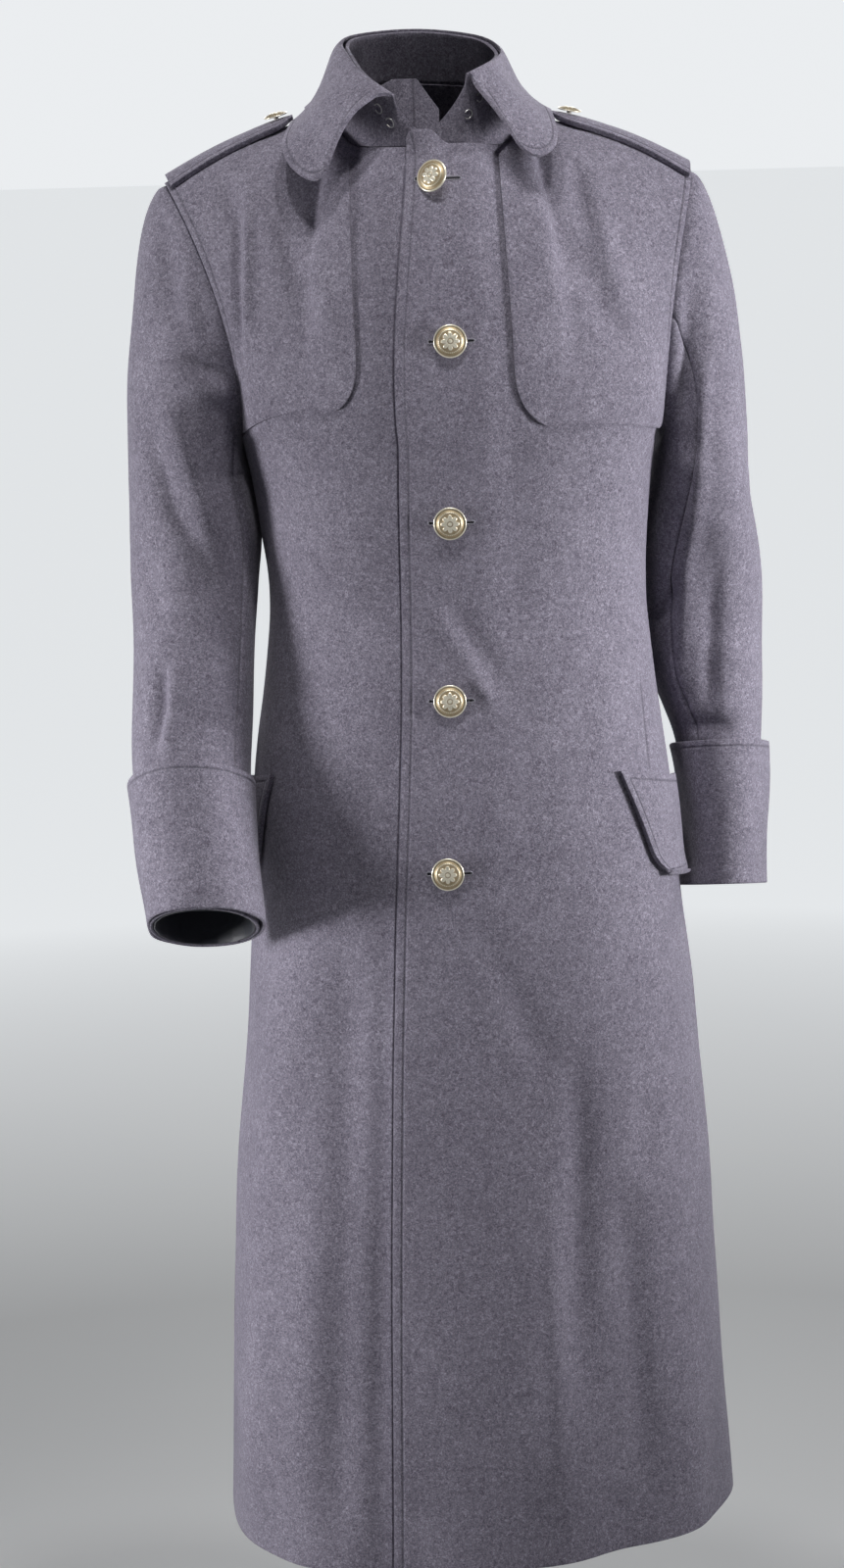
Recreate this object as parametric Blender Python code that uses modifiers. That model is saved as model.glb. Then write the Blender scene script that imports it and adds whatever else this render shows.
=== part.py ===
"""Long grey melton greatcoat, single-breasted, in the hollow form that it has when worn.

Metres, +Z up. The front faces -Y and the wearer's left is +X. The origin is the centre of the neck,
level with the seams where the shoulders meet the collar. Each piece that is cut and sewn is one object.
"""
import math

import bpy
import numpy as np
from mathutils import Matrix, Vector

NAME = "greatcoat"

CLOTH = 0.0026
SEAM_GAP = 0.0003
LAY_GAP = 0.0005
LAP_LIFT = CLOTH + 1.4 * LAY_GAP
FOLD_CLOTH = 0.0030
YOKE_CLOTH = 0.0016
YOKE_GAP = 0.0009
YOKE_BELOW_NECK = 0.0030
FLAP_CLOTH = 0.0038
STRAP_CLOTH = 0.0040
TAB_CLOTH = 0.0020
LINING_CLOTH = 0.0012

UNDERARM_Z = -0.262
HEM_Z = -1.164
SHOULDER_Z = -0.062
SHOULDER_BOW = 0.0085
LOWER_ROWS = 13
UPPER_ROWS = 10
LAP_COLUMNS = 3
CHEST_COLUMNS = 3
NECK_COLUMNS = 2
SHOULDER_COLUMNS = 6
BACK_NECK_COLUMNS = 4
CAP_ROWS = 5
ARM_ROWS = 11
SQUARENESS = 2.3
HEM_RISE_FRONT = 0.010
HEM_RISE_LEFT = 0.008
SHARP_ANGLE = 40.0
LEAN_LIMIT = 0.62

# Levels of the body, from the hem up to the underarm. Widths are from the middle of the coat.
# front_edge is the overlapping edge and under_edge the hidden one. The lines carry the yokes' edges down.
LEVEL_COLUMNS = ("z", "half_width", "front", "back", "centre", "turn",
                 "front_edge", "under_edge", "line_left", "line_right")
LEVELS = (
    (-1.164, 0.2095, 0.188, 0.180, 0.0180, 7.0, -0.0555, 0.020, 0.092, -0.095),
    (-1.040, 0.2045, 0.180, 0.172, 0.0175, 7.0, -0.0525, 0.022, 0.088, -0.090),
    (-0.880, 0.1975, 0.169, 0.160, 0.0185, 7.0, -0.0480, 0.026, 0.083, -0.083),
    (-0.795, 0.1895, 0.162, 0.153, 0.0195, 7.0, -0.0445, 0.028, 0.080, -0.078),
    (-0.707, 0.1820, 0.156, 0.146, 0.0205, 6.5, -0.0410, 0.030, 0.077, -0.072),
    (-0.632, 0.1740, 0.151, 0.138, 0.0190, 6.0, -0.0375, 0.031, 0.074, -0.066),
    (-0.535, 0.1690, 0.142, 0.127, 0.0168, 5.0, -0.0320, 0.032, 0.070, -0.059),
    (-0.455, 0.1576, 0.129, 0.106, 0.0165, 4.0, -0.0280, 0.033, 0.067, -0.055),
    (-0.385, 0.1513, 0.121, 0.096, 0.0160, 3.0, -0.0266, 0.034, 0.065, -0.052),
    (-0.335, 0.1545, 0.123, 0.099, 0.0163, 2.0, -0.0265, 0.034, 0.0645, -0.051),
    (-0.290, 0.1600, 0.127, 0.106, 0.0160, 1.0, -0.0260, 0.034, 0.0640, -0.0508),
    (-0.262, 0.1650, 0.130, 0.111, 0.0150, 0.0, -0.0255, 0.034, 0.0636, -0.0507),
)

# Soft folds of the skirt: a ridge or, where depth is negative, a trough down from start to full.
FOLD_COLUMNS = ("angle", "width", "depth", "start", "full")
FOLDS = (
    (-37.0, 13.0, 0.0080, -0.66, -1.00),
    (-15.0, 10.0, -0.0040, -0.70, -1.10),
    (14.0, 9.0, 0.0040, -0.80, -1.10),
    (29.0, 8.0, -0.0045, -0.70, -1.00),
    (52.0, 9.0, 0.0050, -0.70, -1.10),
    (84.0, 12.0, 0.0040, -0.90, -1.16),
    (112.0, 14.0, -0.0070, -0.62, -1.10),
    (140.0, 13.0, 0.0090, -0.60, -1.10),
    (166.0, 10.0, -0.0060, -0.62, -1.16),
    (-163.0, 11.0, 0.0060, -0.66, -1.16),
    (-134.0, 14.0, -0.0080, -0.60, -1.10),
    (-104.0, 12.0, 0.0070, -0.64, -1.16),
)

# Neckline: the seam between body and collar, an oval round the neck, level across the front.
NECK_CENTRE_X = 0.004
NECK_HALF = 0.075
NECK_FRONT = 0.078
NECK_BACK = 0.070
NECK_FRONT_Z = -0.036
NECK_SIDE_Z = -0.0165
NECK_TILT = 0.0025
NECK_BACK_Z = 0.012
NECK_LEVEL_ANGLE = 45.0
NECK_RISE_SPAN = 70.0
FRONT_EDGE_ANGLE = -13.6
UNDER_EDGE_ANGLE = 20.3
LINE_ANGLE = {"left": 43.5, "right": 55.5}

# How the fronts and backs rise from the underarm: the slopes at which they reach the neckline and the
# shoulder seam (forward and up), and how far each end's slope carries on.
NECK_SLOPE = (0.62, 0.78)
SHOULDER_SLOPE = (1.0, 0.12)
RISE_PULL = 0.40
NECK_PULL = 0.055
SHOULDER_PULL = 0.075
RISE_STEP = 0.02
ARMHOLE_BLEND = 1.5

# Armholes: how far out the seam lies at its top, front, foot and back, and its reach forward and back.
ARMHOLE_COLUMNS = ("top", "front", "foot", "rear", "top_y", "reach_front", "reach_back")
ARMHOLES = {
    "left": (0.2085, 0.1900, 0.1800, 0.1780, 0.010, 0.048, 0.066),
    "right": (0.2045, 0.1600, 0.1500, 0.1720, -0.004, 0.058, 0.062),
}

# Arms, from below the armhole to the wrist. lean is how far the ring's front is tipped up, in degrees.
ARM_COLUMNS = ("z", "x", "y", "half_x", "half_y", "lean")
ARMS = {
    "right": (
        (-0.292, 0.1965, 0.002, 0.0480, 0.067, 2.0),
        (-0.335, 0.1925, -0.004, 0.0515, 0.066, 6.0),
        (-0.375, 0.1932, -0.012, 0.0512, 0.065, 13.0),
        (-0.420, 0.1950, -0.030, 0.0495, 0.063, 21.0),
        (-0.470, 0.1965, -0.054, 0.0480, 0.060, 27.0),
        (-0.521, 0.1985, -0.079, 0.0462, 0.057, 29.0),
        (-0.576, 0.1955, -0.109, 0.0450, 0.056, 29.0),
        (-0.632, 0.1890, -0.138, 0.0430, 0.055, 29.0),
    ),
    "left": (
        (-0.292, 0.2162, 0.034, 0.0392, 0.070, 0.0),
        (-0.335, 0.2158, 0.046, 0.0455, 0.068, 2.0),
        (-0.375, 0.2160, 0.056, 0.0505, 0.066, 4.0),
        (-0.420, 0.2180, 0.062, 0.0507, 0.065, 7.0),
        (-0.470, 0.2222, 0.059, 0.0462, 0.0645, 10.0),
        (-0.529, 0.2308, 0.051, 0.0355, 0.064, 13.0),
        (-0.584, 0.2335, 0.040, 0.0320, 0.0635, 13.0),
        (-0.647, 0.2328, 0.026, 0.0312, 0.0630, 13.0),
    ),
}
ARM_SQUARING = 0.94
CAP_OUT = 0.008
CAP_CROWN_OUT = 0.014
CAP_FORWARD = 0.006
CAP_UP = -0.010
CAP_CROWN_UP = 0.012
CAP_PULL = 0.42
FRONT_SLEEVE_SEAM = {"left": 7, "right": 8}
REAR_SLEEVE_SEAM = 13
CUFF_DEPTH = 0.118
CUFF_ROWS = 5
CUFF_EASE = 0.0016
CUFF_TURN = 0.0002
LINING_DEPTH = 0.050

# Collar, from its left front end round the back to its right front end. The fold is its top line and the
# edge is the free edge of the fall. Between them the cloth rolls out by puff, then passes the point that
# lies reach of the way to the edge and drop below the fold.
COLLAR_COLUMNS = ("angle", "fold_x", "fold_y", "fold_z", "edge_x", "edge_y", "edge_z",
                  "puff", "reach", "drop")
COLLAR = (
    (16.0, 0.0350, -0.0800, 0.0190, 0.0815, -0.0990, -0.0605, 0.004, 0.27, 0.026),
    (34.0, 0.0470, -0.0650, 0.0245, 0.0965, -0.0800, -0.0425, 0.006, 0.29, 0.026),
    (60.0, 0.0575, -0.0380, 0.0300, 0.0985, -0.0390, -0.0175, 0.006, 0.29, 0.032),
    (95.0, 0.0615, 0.0020, 0.0365, 0.0925, 0.0160, -0.0095, 0.006, 0.30, 0.028),
    (140.0, 0.0440, 0.0440, 0.0480, 0.0810, 0.0770, -0.0080, 0.008, 0.40, 0.034),
    (180.0, 0.0000, 0.0560, 0.0540, 0.0000, 0.1080, -0.0260, 0.010, 0.48, 0.036),
    (220.0, -0.0450, 0.0440, 0.0520, -0.0820, 0.0770, -0.0080, 0.008, 0.40, 0.036),
    (265.0, -0.0615, 0.0020, 0.0450, -0.0950, 0.0140, -0.0085, 0.010, 0.35, 0.036),
    (298.0, -0.0570, -0.0370, 0.0345, -0.1040, -0.0390, -0.0215, 0.010, 0.34, 0.034),
    (326.0, -0.0440, -0.0660, 0.0185, -0.1015, -0.0830, -0.0490, 0.012, 0.48, 0.020),
    (344.0, -0.0240, -0.0830, 0.0045, -0.0795, -0.1055, -0.0785, 0.016, 0.70, 0.012),
)
STAND_LEFT_ANGLE = 2.0
STAND_RIGHT_ANGLE = 358.0
STAND_END_HEIGHT = {"left": 0.013, "right": 0.007}
STAND_BELOW_FOLD = 0.0018
STAND_INSIDE_FOLD = 0.0025
FALL_ROWS = 8
TIP_ROUND = 0.16
FALL_NEAR_STEPS = (0.0, 2.5, 6.0, 11.0, 18.0, 27.0, 38.0, 50.0, 64.0, 80.0)
FALL_BACK_ANGLES = (106.0, 122.0, 137.0, 151.0, 165.0, 180.0, 195.0, 209.0, 223.0, 238.0, 254.0)
PUFF_RISE = 0.3
TIP_SPAN = 20.0
STAND_ROWS = 4
STAND_END_BEND = 1.2
STAND_END_BACK = 0.3

TAB_ROWS = 5
TAB_COLUMNS = 7
TAB_LEFT = -0.034
TAB_RIGHT = 0.012
TAB_FOOT = -0.034
TAB_TOP = 0.0152
TAB_SHOULDERS = (-0.024, -0.005)
TAB_LEFT_SLOPE = 0.5
TAB_RIGHT_SLOPE = 1.39
TAB_INSIDE = 0.0041
TAB_LEAN = 0.010
TAB_CREASE = -0.008
TAB_CREASE_WIDTH = 0.006
TAB_CREASE_DEPTH = 0.0025

BUTTON_RADIUS = 0.0127
# Half of a button cut through: radius and height, from the dome's top over the rim to the shank's foot.
BUTTON_PROFILE = (
    (0.0, 0.0070), (0.0045, 0.0066), (0.0082, 0.0056), (0.0106, 0.0044), (0.0113, 0.0041),
    (0.0122, 0.0043), (0.0127, 0.0036), (0.0120, 0.0027), (0.0040, 0.0022), (0.0024, 0.0017),
    (0.0024, 0.0), (0.0, 0.0),
)
BUTTON_STEPS = 16
BUTTON_UPRIGHT = 0.7
BUTTON_SEAT = 0.0002
BUTTON_PLACES = ((0.0078, -0.060), (0.0147, -0.181), (0.0113, -0.320), (0.0077, -0.458), (0.0025, -0.591))
STRAP_BUTTON_RADIUS = 0.0095

STRAP_START = 0.025
STRAP_END = {"left": 0.84, "right": 0.775}
STRAP_TIP_RISE = 0.002
STRAP_HALF_WIDTH = 0.022
STRAP_TIP_HALF_WIDTH = 0.017
STRAP_LIFT = YOKE_CLOTH + 3.0 * LAY_GAP
STRAP_TIP_START = 0.82
STRAP_TIP_SPAN = 0.185
STRAP_TIP_BLUNT = 0.24
STRAP_RISE_START = 0.55
STRAP_ROWS = 8
STRAP_ACROSS = 6

FLAP_LENGTH = 0.125
FLAP_DEPTH = 0.078
FLAP_SLANT = 0.46
FLAP_ROUND = 0.016
FLAP_FALL = 0.19
FLAP_GAP = 0.0009
FLAP_STAND_OFF = 0.0022
FLAP_START = {"left": 0.1390, "right": -0.1305}
FLAP_TOP_Z = -0.523
FLAP_DEPTHS = (0.0, 0.020, 0.040, 0.062, 0.070, 0.075, FLAP_DEPTH)
FLAP_COLUMNS = 7

WIRE = 0.0005
HOOK_SIZE = 0.0034
HOOK_POINTS = 11
HOOK_OPENING = 300.0
HOOK_ANGLE_STEP = 2.0
HOOK_HEIGHT_STEP = 0.1
HOOK_PLACES = (
    ("hook_stand_right", 332.0, 0.60), ("eye_stand_right", 338.5, 0.42),
    ("hook_stand_left", 30.0, 0.62), ("eye_stand_left", 21.0, 0.42),
)

MELTON = ((0.165, 0.158, 0.195, 1.0), 0.92, 0.0)
MELTON_SHADE = ((0.150, 0.143, 0.178, 1.0), 0.94, 0.0)
GILT = ((0.62, 0.55, 0.42, 1.0), 0.26, 1.0)
STEEL = ((0.56, 0.56, 0.55, 1.0), 0.30, 1.0)
LINING = ((0.020, 0.022, 0.030, 1.0), 0.55, 0.0)

SIDE_SIGN = {"left": 1.0, "right": -1.0}


def clear_scene():
    for item in list(bpy.data.objects):
        bpy.data.objects.remove(item, do_unlink=True)


def make_collection(name):
    collection = bpy.data.collections.new(name)
    bpy.context.scene.collection.children.link(collection)
    return collection


def make_material(name, look):
    """The piece's own material, from a colour, a roughness and a metallic value."""
    colour, roughness, metallic = look
    material = bpy.data.materials.new(name)
    material.use_nodes = True
    shader = material.node_tree.nodes["Principled BSDF"]
    shader.inputs["Base Color"].default_value = colour
    shader.inputs["Roughness"].default_value = roughness
    shader.inputs["Metallic"].default_value = metallic
    material.diffuse_color = colour
    return material


def smooth(value):
    """Goes from 0 to 1 with level ends, and stays there outside."""
    value = min(max(value, 0.0), 1.0)
    return value * value * (3.0 - 2.0 * value)


def unit(vector):
    return vector / np.linalg.norm(vector)


def read_table(names, rows, where):
    """The row of a table at a value of its first column, on smooth curves through the rows."""
    grid = np.array(rows, dtype=float)
    places = grid[:, 0]
    where = min(max(where, places[0]), places[-1])
    index = min(int(np.searchsorted(places, where, side="right")) - 1, len(places) - 2)
    index = max(index, 0)
    slopes = np.gradient(grid, places, axis=0)
    span = places[index + 1] - places[index]
    part = (where - places[index]) / span
    rise = 3 * part**2 - 2 * part**3
    level_part = grid[index] * (1 - rise) + grid[index + 1] * rise
    leaving = slopes[index] * span * (part**3 - 2 * part**2 + part)
    arriving = slopes[index + 1] * span * (part**3 - part**2)
    return dict(zip(names, level_part + leaving + arriving))


def bezier(points, part):
    """A point on the curve that two or three handles pull between its ends."""
    points = [np.array(point, dtype=float) for point in points]
    while len(points) > 1:
        points = [a + (b - a) * part for a, b in zip(points, points[1:])]
    return points[0]


def level(z):
    return read_table(LEVEL_COLUMNS, LEVELS, z)


def power(value, exponent):
    return math.copysign(abs(value) ** exponent, value)


def fold_depth(angle, z):
    total = 0.0
    for row in FOLDS:
        fold = dict(zip(FOLD_COLUMNS, row))
        off = (angle - fold["angle"] + 180.0) % 360.0 - 180.0
        ramp = smooth((z - fold["start"]) / (fold["full"] - fold["start"]))
        total += fold["depth"] * ramp * math.exp(-((off / fold["width"]) ** 2))
    return total


def body_point(angle, z):
    """A point of the body below the underarm. Angle 0 is the front and 90 the wearer's left."""
    row = level(z)
    turn = math.radians(angle)
    depth = row["front"] if math.cos(turn) > 0 else row["back"]
    x = row["half_width"] * power(math.sin(turn), 2.0 / SQUARENESS)
    y = -depth * power(math.cos(turn), 2.0 / SQUARENESS)
    out = unit(np.array((x / row["half_width"] ** 2, y / depth**2)))
    push = fold_depth(angle, z)
    below = (UNDERARM_Z - z) / (UNDERARM_Z - HEM_Z)
    lift = below**3 * (HEM_RISE_FRONT * math.cos(turn) + HEM_RISE_LEFT * math.sin(turn))
    return np.array((row["centre"] + x + out[0] * push, y + out[1] * push, z + lift))


def angle_at(row, x):
    """The angle where the front of a level stands at a given x."""
    share = min(max((x - row["centre"]) / row["half_width"], -1.0), 1.0)
    return math.degrees(math.asin(power(share, SQUARENESS / 2.0)))


def neck_point(angle):
    """A point of the neckline seam."""
    turn = math.radians(angle)
    depth = NECK_FRONT if math.cos(turn) > 0 else NECK_BACK
    away = abs((angle + 180.0) % 360.0 - 180.0)
    to_side = smooth((away - NECK_LEVEL_ANGLE) / (90.0 - NECK_LEVEL_ANGLE))
    z = NECK_FRONT_Z + (NECK_SIDE_Z - NECK_FRONT_Z) * to_side
    z += (NECK_BACK_Z - NECK_SIDE_Z) * smooth((away - 90.0) / NECK_RISE_SPAN)
    z -= NECK_TILT * math.sin(turn) * (1.0 - math.cos(turn))
    return np.array((NECK_CENTRE_X + NECK_HALF * math.sin(turn), -depth * math.cos(turn), z))


def armhole_point(side, angle):
    """A point of the armhole seam. Angle 0 is the top, 90 the front, 180 the foot and 270 the back."""
    hole = dict(zip(ARMHOLE_COLUMNS, ARMHOLES[side]))
    turn = math.radians(angle)
    even = (hole["top"] + hole["foot"]) / 2.0
    odd = (hole["front"] + hole["rear"]) / 2.0
    x = (even + odd) / 2.0 + (even - odd) / 2.0 * math.cos(2.0 * turn)
    x += (hole["top"] - hole["foot"]) / 2.0 * math.cos(turn)
    x += (hole["front"] - hole["rear"]) / 2.0 * math.sin(turn)
    reach = hole["reach_front"] if math.sin(turn) > 0 else hole["reach_back"]
    y = hole["top_y"] * (1.0 + math.cos(turn)) / 2.0 - reach * math.sin(turn)
    z = (SHOULDER_Z + UNDERARM_Z) / 2.0 + (SHOULDER_Z - UNDERARM_Z) / 2.0 * math.cos(turn)
    sign = SIDE_SIGN[side]
    foot = body_point(sign * 90.0, UNDERARM_Z)
    down = (1.0 - math.cos(turn)) / 2.0
    return np.array((sign * x, y, z)) + np.array((foot[0] - sign * hole["foot"], foot[1], 0.0)) * down


def shoulder_point(side, part):
    """A point of the shoulder seam, from the neck at 0 to the armhole at 1."""
    start = neck_point(90.0 * SIDE_SIGN[side])
    end = armhole_point(side, 0.0)
    bow = SHOULDER_BOW * math.sin(math.pi * part)
    return start + (end - start) * part + np.array((0.0, 0.0, bow))


# Where the corner points of a yoke's first rows and columns go, to round the corner: columns over, rows up.
YOKE_CORNER = {(0, 0): (0.293, 0.293), (0, 1): (0.617, 0.076), (1, 0): (0.076, 0.617), (1, 1): (0.62, 0.62)}
YOKE_FOOT = {"left": LOWER_ROWS + 0.5, "right": LOWER_ROWS + 1.0}
FRONT_COLUMNS = LAP_COLUMNS + CHEST_COLUMNS + NECK_COLUMNS + SHOULDER_COLUMNS
BACK_COLUMNS = BACK_NECK_COLUMNS + SHOULDER_COLUMNS
YOKE_START = LAP_COLUMNS + CHEST_COLUMNS


def front_angle(side, column, z):
    """The angle of a column of a front at a level: front edge, lap, chest, then out to the side seam."""
    row = level(z)
    sign = SIDE_SIGN[side]
    edges = [angle_at(row, row["front_edge"]), angle_at(row, row["under_edge"])]
    if side == "right":
        edges.reverse()
    line = angle_at(row, row["line_" + side])
    seam = sign * 90.0 - row["turn"]
    if column <= LAP_COLUMNS:
        return edges[0] + (edges[1] - edges[0]) * column / LAP_COLUMNS
    if column <= YOKE_START:
        return edges[1] + (line - edges[1]) * (column - LAP_COLUMNS) / CHEST_COLUMNS
    return line + (seam - line) * (column - YOKE_START) / (NECK_COLUMNS + SHOULDER_COLUMNS)


def front_neck_angle(side, column):
    """The angle at which a column of a front meets the neckline."""
    sign = SIDE_SIGN[side]
    edges = [FRONT_EDGE_ANGLE, UNDER_EDGE_ANGLE]
    if side == "right":
        edges.reverse()
    line = LINE_ANGLE[side] * sign
    if column <= LAP_COLUMNS:
        return edges[0] + (edges[1] - edges[0]) * column / LAP_COLUMNS
    if column <= YOKE_START:
        return edges[1] + (line - edges[1]) * (column - LAP_COLUMNS) / CHEST_COLUMNS
    return line + (sign * 90.0 - line) * min(1.0, (column - YOKE_START) / NECK_COLUMNS)


def front_top(side, column):
    """Where a column of a front ends: on the neckline, or on the shoulder seam."""
    if column <= YOKE_START + NECK_COLUMNS:
        return neck_point(front_neck_angle(side, column))
    return shoulder_point(side, (column - YOKE_START - NECK_COLUMNS) / SHOULDER_COLUMNS)


def back_angle(side, column, z):
    row = level(z)
    sign = SIDE_SIGN[side]
    middle = sign * 180.0 - row["turn"]
    seam = sign * 90.0 - row["turn"]
    return middle + (seam - middle) * column / BACK_COLUMNS


def back_neck_angle(side, column):
    """The angle at which a column of a back meets the neckline."""
    return SIDE_SIGN[side] * (180.0 - 90.0 * min(1.0, column / BACK_NECK_COLUMNS))


def back_top(side, column):
    """Where a column of a back ends: on the neckline, or on the shoulder seam."""
    if column <= BACK_NECK_COLUMNS:
        return neck_point(back_neck_angle(side, column))
    return shoulder_point(side, (column - BACK_NECK_COLUMNS) / SHOULDER_COLUMNS)


def rising_point(start, before, top, end_direction, end_pull, part):
    """A point between the underarm level and the top, leaving and arriving along the cloth's own slope."""
    rise = unit(start - before)
    pull = RISE_PULL * (top[2] - start[2])
    return bezier((start, start + rise * pull, top - end_direction * end_pull, top), part)


def panel_point(side, face, column, row):
    """A point of a front or back panel. Row 0 is the hem, LOWER_ROWS the underarm, and the last the top."""
    if face == "front":
        angle_of, top_of, neck_of, count = front_angle, front_top, front_neck_angle, FRONT_COLUMNS
        armhole_turn, free_columns, forward = 180.0, YOKE_START, 1.0
    else:
        angle_of, top_of, neck_of, count = back_angle, back_top, back_neck_angle, BACK_COLUMNS
        armhole_turn, free_columns, forward = -180.0, 1.0, -1.0
    if row <= LOWER_ROWS:
        z = HEM_Z + (UNDERARM_Z - HEM_Z) * row / LOWER_ROWS
        return body_point(angle_of(side, column, z), z)
    part = (row - LOWER_ROWS) / UPPER_ROWS

    def unfitted(at):
        angle = angle_of(side, at, UNDERARM_Z)
        start = body_point(angle, UNDERARM_Z)
        before = body_point(angle, UNDERARM_Z - RISE_STEP)
        top = top_of(side, at)
        from_front = abs(neck_of(side, at))
        over = smooth((from_front if face == "front" else 180.0 - from_front) / 90.0)
        steep = unit(np.array((0.0, NECK_SLOPE[0] * forward, NECK_SLOPE[1])))
        level_off = unit(np.array((0.0, SHOULDER_SLOPE[0] * forward, SHOULDER_SLOPE[1])))
        direction = unit(steep * (1.0 - over) + level_off * over)
        pull = NECK_PULL + (SHOULDER_PULL - NECK_PULL) * over
        return rising_point(start, before, top, direction, pull, part)

    point = unfitted(column)
    weight = smooth((column - free_columns) / (count - free_columns)) ** ARMHOLE_BLEND
    if weight > 0.0:
        seam = armhole_point(side, armhole_turn * (1.0 - part))
        point = point + (seam - unfitted(count)) * weight
    return point


def arm(side, z):
    rows = sorted(ARMS[side])
    return read_table(ARM_COLUMNS, rows, z)


def arm_ring_point(side, angle, z, ease=0.0):
    """A point of the sleeve below the armhole. Angle 0 is outermost, 90 the front, 180 next to the body."""
    row = arm(side, z)
    turn = math.radians(angle)
    lean = math.radians(row["lean"])
    out = (row["half_x"] + ease) * power(math.cos(turn), ARM_SQUARING)
    ahead = (row["half_y"] + ease) * power(math.sin(turn), ARM_SQUARING)
    centre = np.array((row["x"] * SIDE_SIGN[side], row["y"], z))
    return centre + np.array((out * SIDE_SIGN[side], -ahead * math.cos(lean), ahead * math.sin(lean)))


def sleeve_point(side, column, row):
    """A point of the sleeve: the cap from the armhole seam, then rings down to the wrist."""
    angle = 360.0 * column / (2 * UPPER_ROWS)
    stations = [entry[0] for entry in ARMS[side]]
    if row >= CAP_ROWS:
        part = (row - CAP_ROWS) / ARM_ROWS
        return arm_ring_point(side, angle, stations[0] + (stations[-1] - stations[0]) * part)
    turn = math.radians(angle)
    start = armhole_point(side, angle)
    end = arm_ring_point(side, angle, stations[0])
    height = start[2] - end[2]
    crown = (1.0 + math.cos(turn)) / 2.0
    outward = SIDE_SIGN[side] * (CAP_OUT + CAP_CROWN_OUT * crown)
    out = np.array((outward, -CAP_FORWARD * math.sin(turn), CAP_UP + CAP_CROWN_UP * crown))
    above = np.array((0.0, 0.0, CAP_PULL * height))
    return bezier((start, start + out, end + above, end), row / CAP_ROWS)


def grid_of(function, columns, rows):
    return np.array([[function(column, row) for column in columns] for row in rows])


def grid_normals(points, sign, wrapped=False):
    """Unit normals at the points of a grid, pointing out of the cloth's face."""
    def along(axis):
        if wrapped and axis == 1:
            return np.roll(points, -1, axis=1) - np.roll(points, 1, axis=1)
        return np.gradient(points, axis=axis)
    normals = np.cross(along(1), along(0)) * sign
    return normals / np.linalg.norm(normals, axis=2, keepdims=True)


def key_of(point):
    return tuple(np.round(point, 6))


def share_normals(sheets):
    """At each seam, lets the pieces that meet there lean their cut edges the same way."""
    total = {}
    for sheet in sheets.values():
        for point, normal in zip(sheet["points"].reshape(-1, 3), sheet["normals"].reshape(-1, 3)):
            key = key_of(point)
            total[key] = total.get(key, np.zeros(3)) + normal
    for sheet in sheets.values():
        points = sheet["points"].reshape(-1, 3)
        own = sheet["normals"].reshape(-1, 3)
        shared = np.array([unit(total[key_of(point)]) for point in points])
        agree = np.clip(np.sum(shared * own, axis=1, keepdims=True), LEAN_LIMIT, 1.0)
        sheet["lean"] = (shared / agree).reshape(sheet["points"].shape)


def shrink_edges(points, amount, wrapped=False):
    """Draws the free edges of a grid in by a small amount, so that neighbours stay apart."""
    result = points.copy()

    def draw(edge, inner):
        step = inner - edge
        return edge + step / np.linalg.norm(step, axis=-1, keepdims=True) * amount
    result[0] = draw(points[0], points[1])
    result[-1] = draw(points[-1], points[-2])
    if not wrapped:
        first = result.copy()
        result[:, 0] = draw(first[:, 0], first[:, 1])
        result[:, -1] = draw(first[:, -1], first[:, -2])
    return result


def make_wall(name, outer, inner, sign, look, collection, wrapped=False):
    """A closed wall of cloth between an outer and an inner grid of points."""
    rows, columns = outer.shape[:2]
    vertices = [tuple(point) for grid in (outer, inner) for point in grid.reshape(-1, 3)]
    offset = rows * columns
    faces = []

    def add(loop):
        a, b, c, d = loop
        for corner in ((a, b, c), (a, c, d)):
            faces.append(corner if sign > 0 else tuple(reversed(corner)))
    spans = columns if wrapped else columns - 1
    for row in range(rows - 1):
        for column in range(spans):
            a = row * columns + column
            b = row * columns + (column + 1) % columns
            c, d = b + columns, a + columns
            add((a, b, c, d))
            add((a + offset, d + offset, c + offset, b + offset))
    def add_side(a, b):
        if (vertices[a][2], vertices[a][1]) <= (vertices[b][2], vertices[b][1]):
            add((a, b, b + offset, a + offset))
        else:
            add((b, b + offset, a + offset, a))
    for column in range(spans):
        after = (column + 1) % columns
        last = (rows - 1) * columns
        add_side(after, column)
        add_side(last + column, last + after)
    if not wrapped:
        for row in range(rows - 1):
            left, left_up = row * columns, (row + 1) * columns
            add_side(left, left_up)
            add_side(left_up + columns - 1, left + columns - 1)
    mesh = bpy.data.meshes.new(name)
    mesh.from_pydata(vertices, [], faces)
    mesh.materials.append(make_material(name, look))
    mesh.shade_smooth()
    mesh.set_sharp_from_angle(angle=math.radians(SHARP_ANGLE))
    piece = bpy.data.objects.new(name, mesh)
    collection.objects.link(piece)
    return piece


def body_sheets():
    """The panels and sleeves as grids, with the normals that their seams share."""
    sheets = {}
    for side, sign in SIDE_SIGN.items():
        rows = range(LOWER_ROWS + UPPER_ROWS + 1)
        for face, count, turned in (("front", FRONT_COLUMNS, 1.0), ("back", BACK_COLUMNS, -1.0)):
            points = grid_of(lambda c, r: panel_point(side, face, c, r), range(count + 1), rows)
            sheets[face, side] = {"points": points, "sign": sign * turned,
                                  "normals": grid_normals(points, sign * turned)}
        arm_rows = range(CAP_ROWS + ARM_ROWS + 1)
        points = grid_of(lambda c, r: sleeve_point(side, c, r), range(2 * UPPER_ROWS), arm_rows)
        sheets["sleeve", side] = {"points": points, "sign": sign,
                                  "normals": grid_normals(points, sign, wrapped=True)}
    share_normals(sheets)
    return sheets


def lap_share(column):
    """How far a column of the left front is lifted over the right one."""
    return 1.0 - smooth((column - LAP_COLUMNS) / CHEST_COLUMNS)


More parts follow.
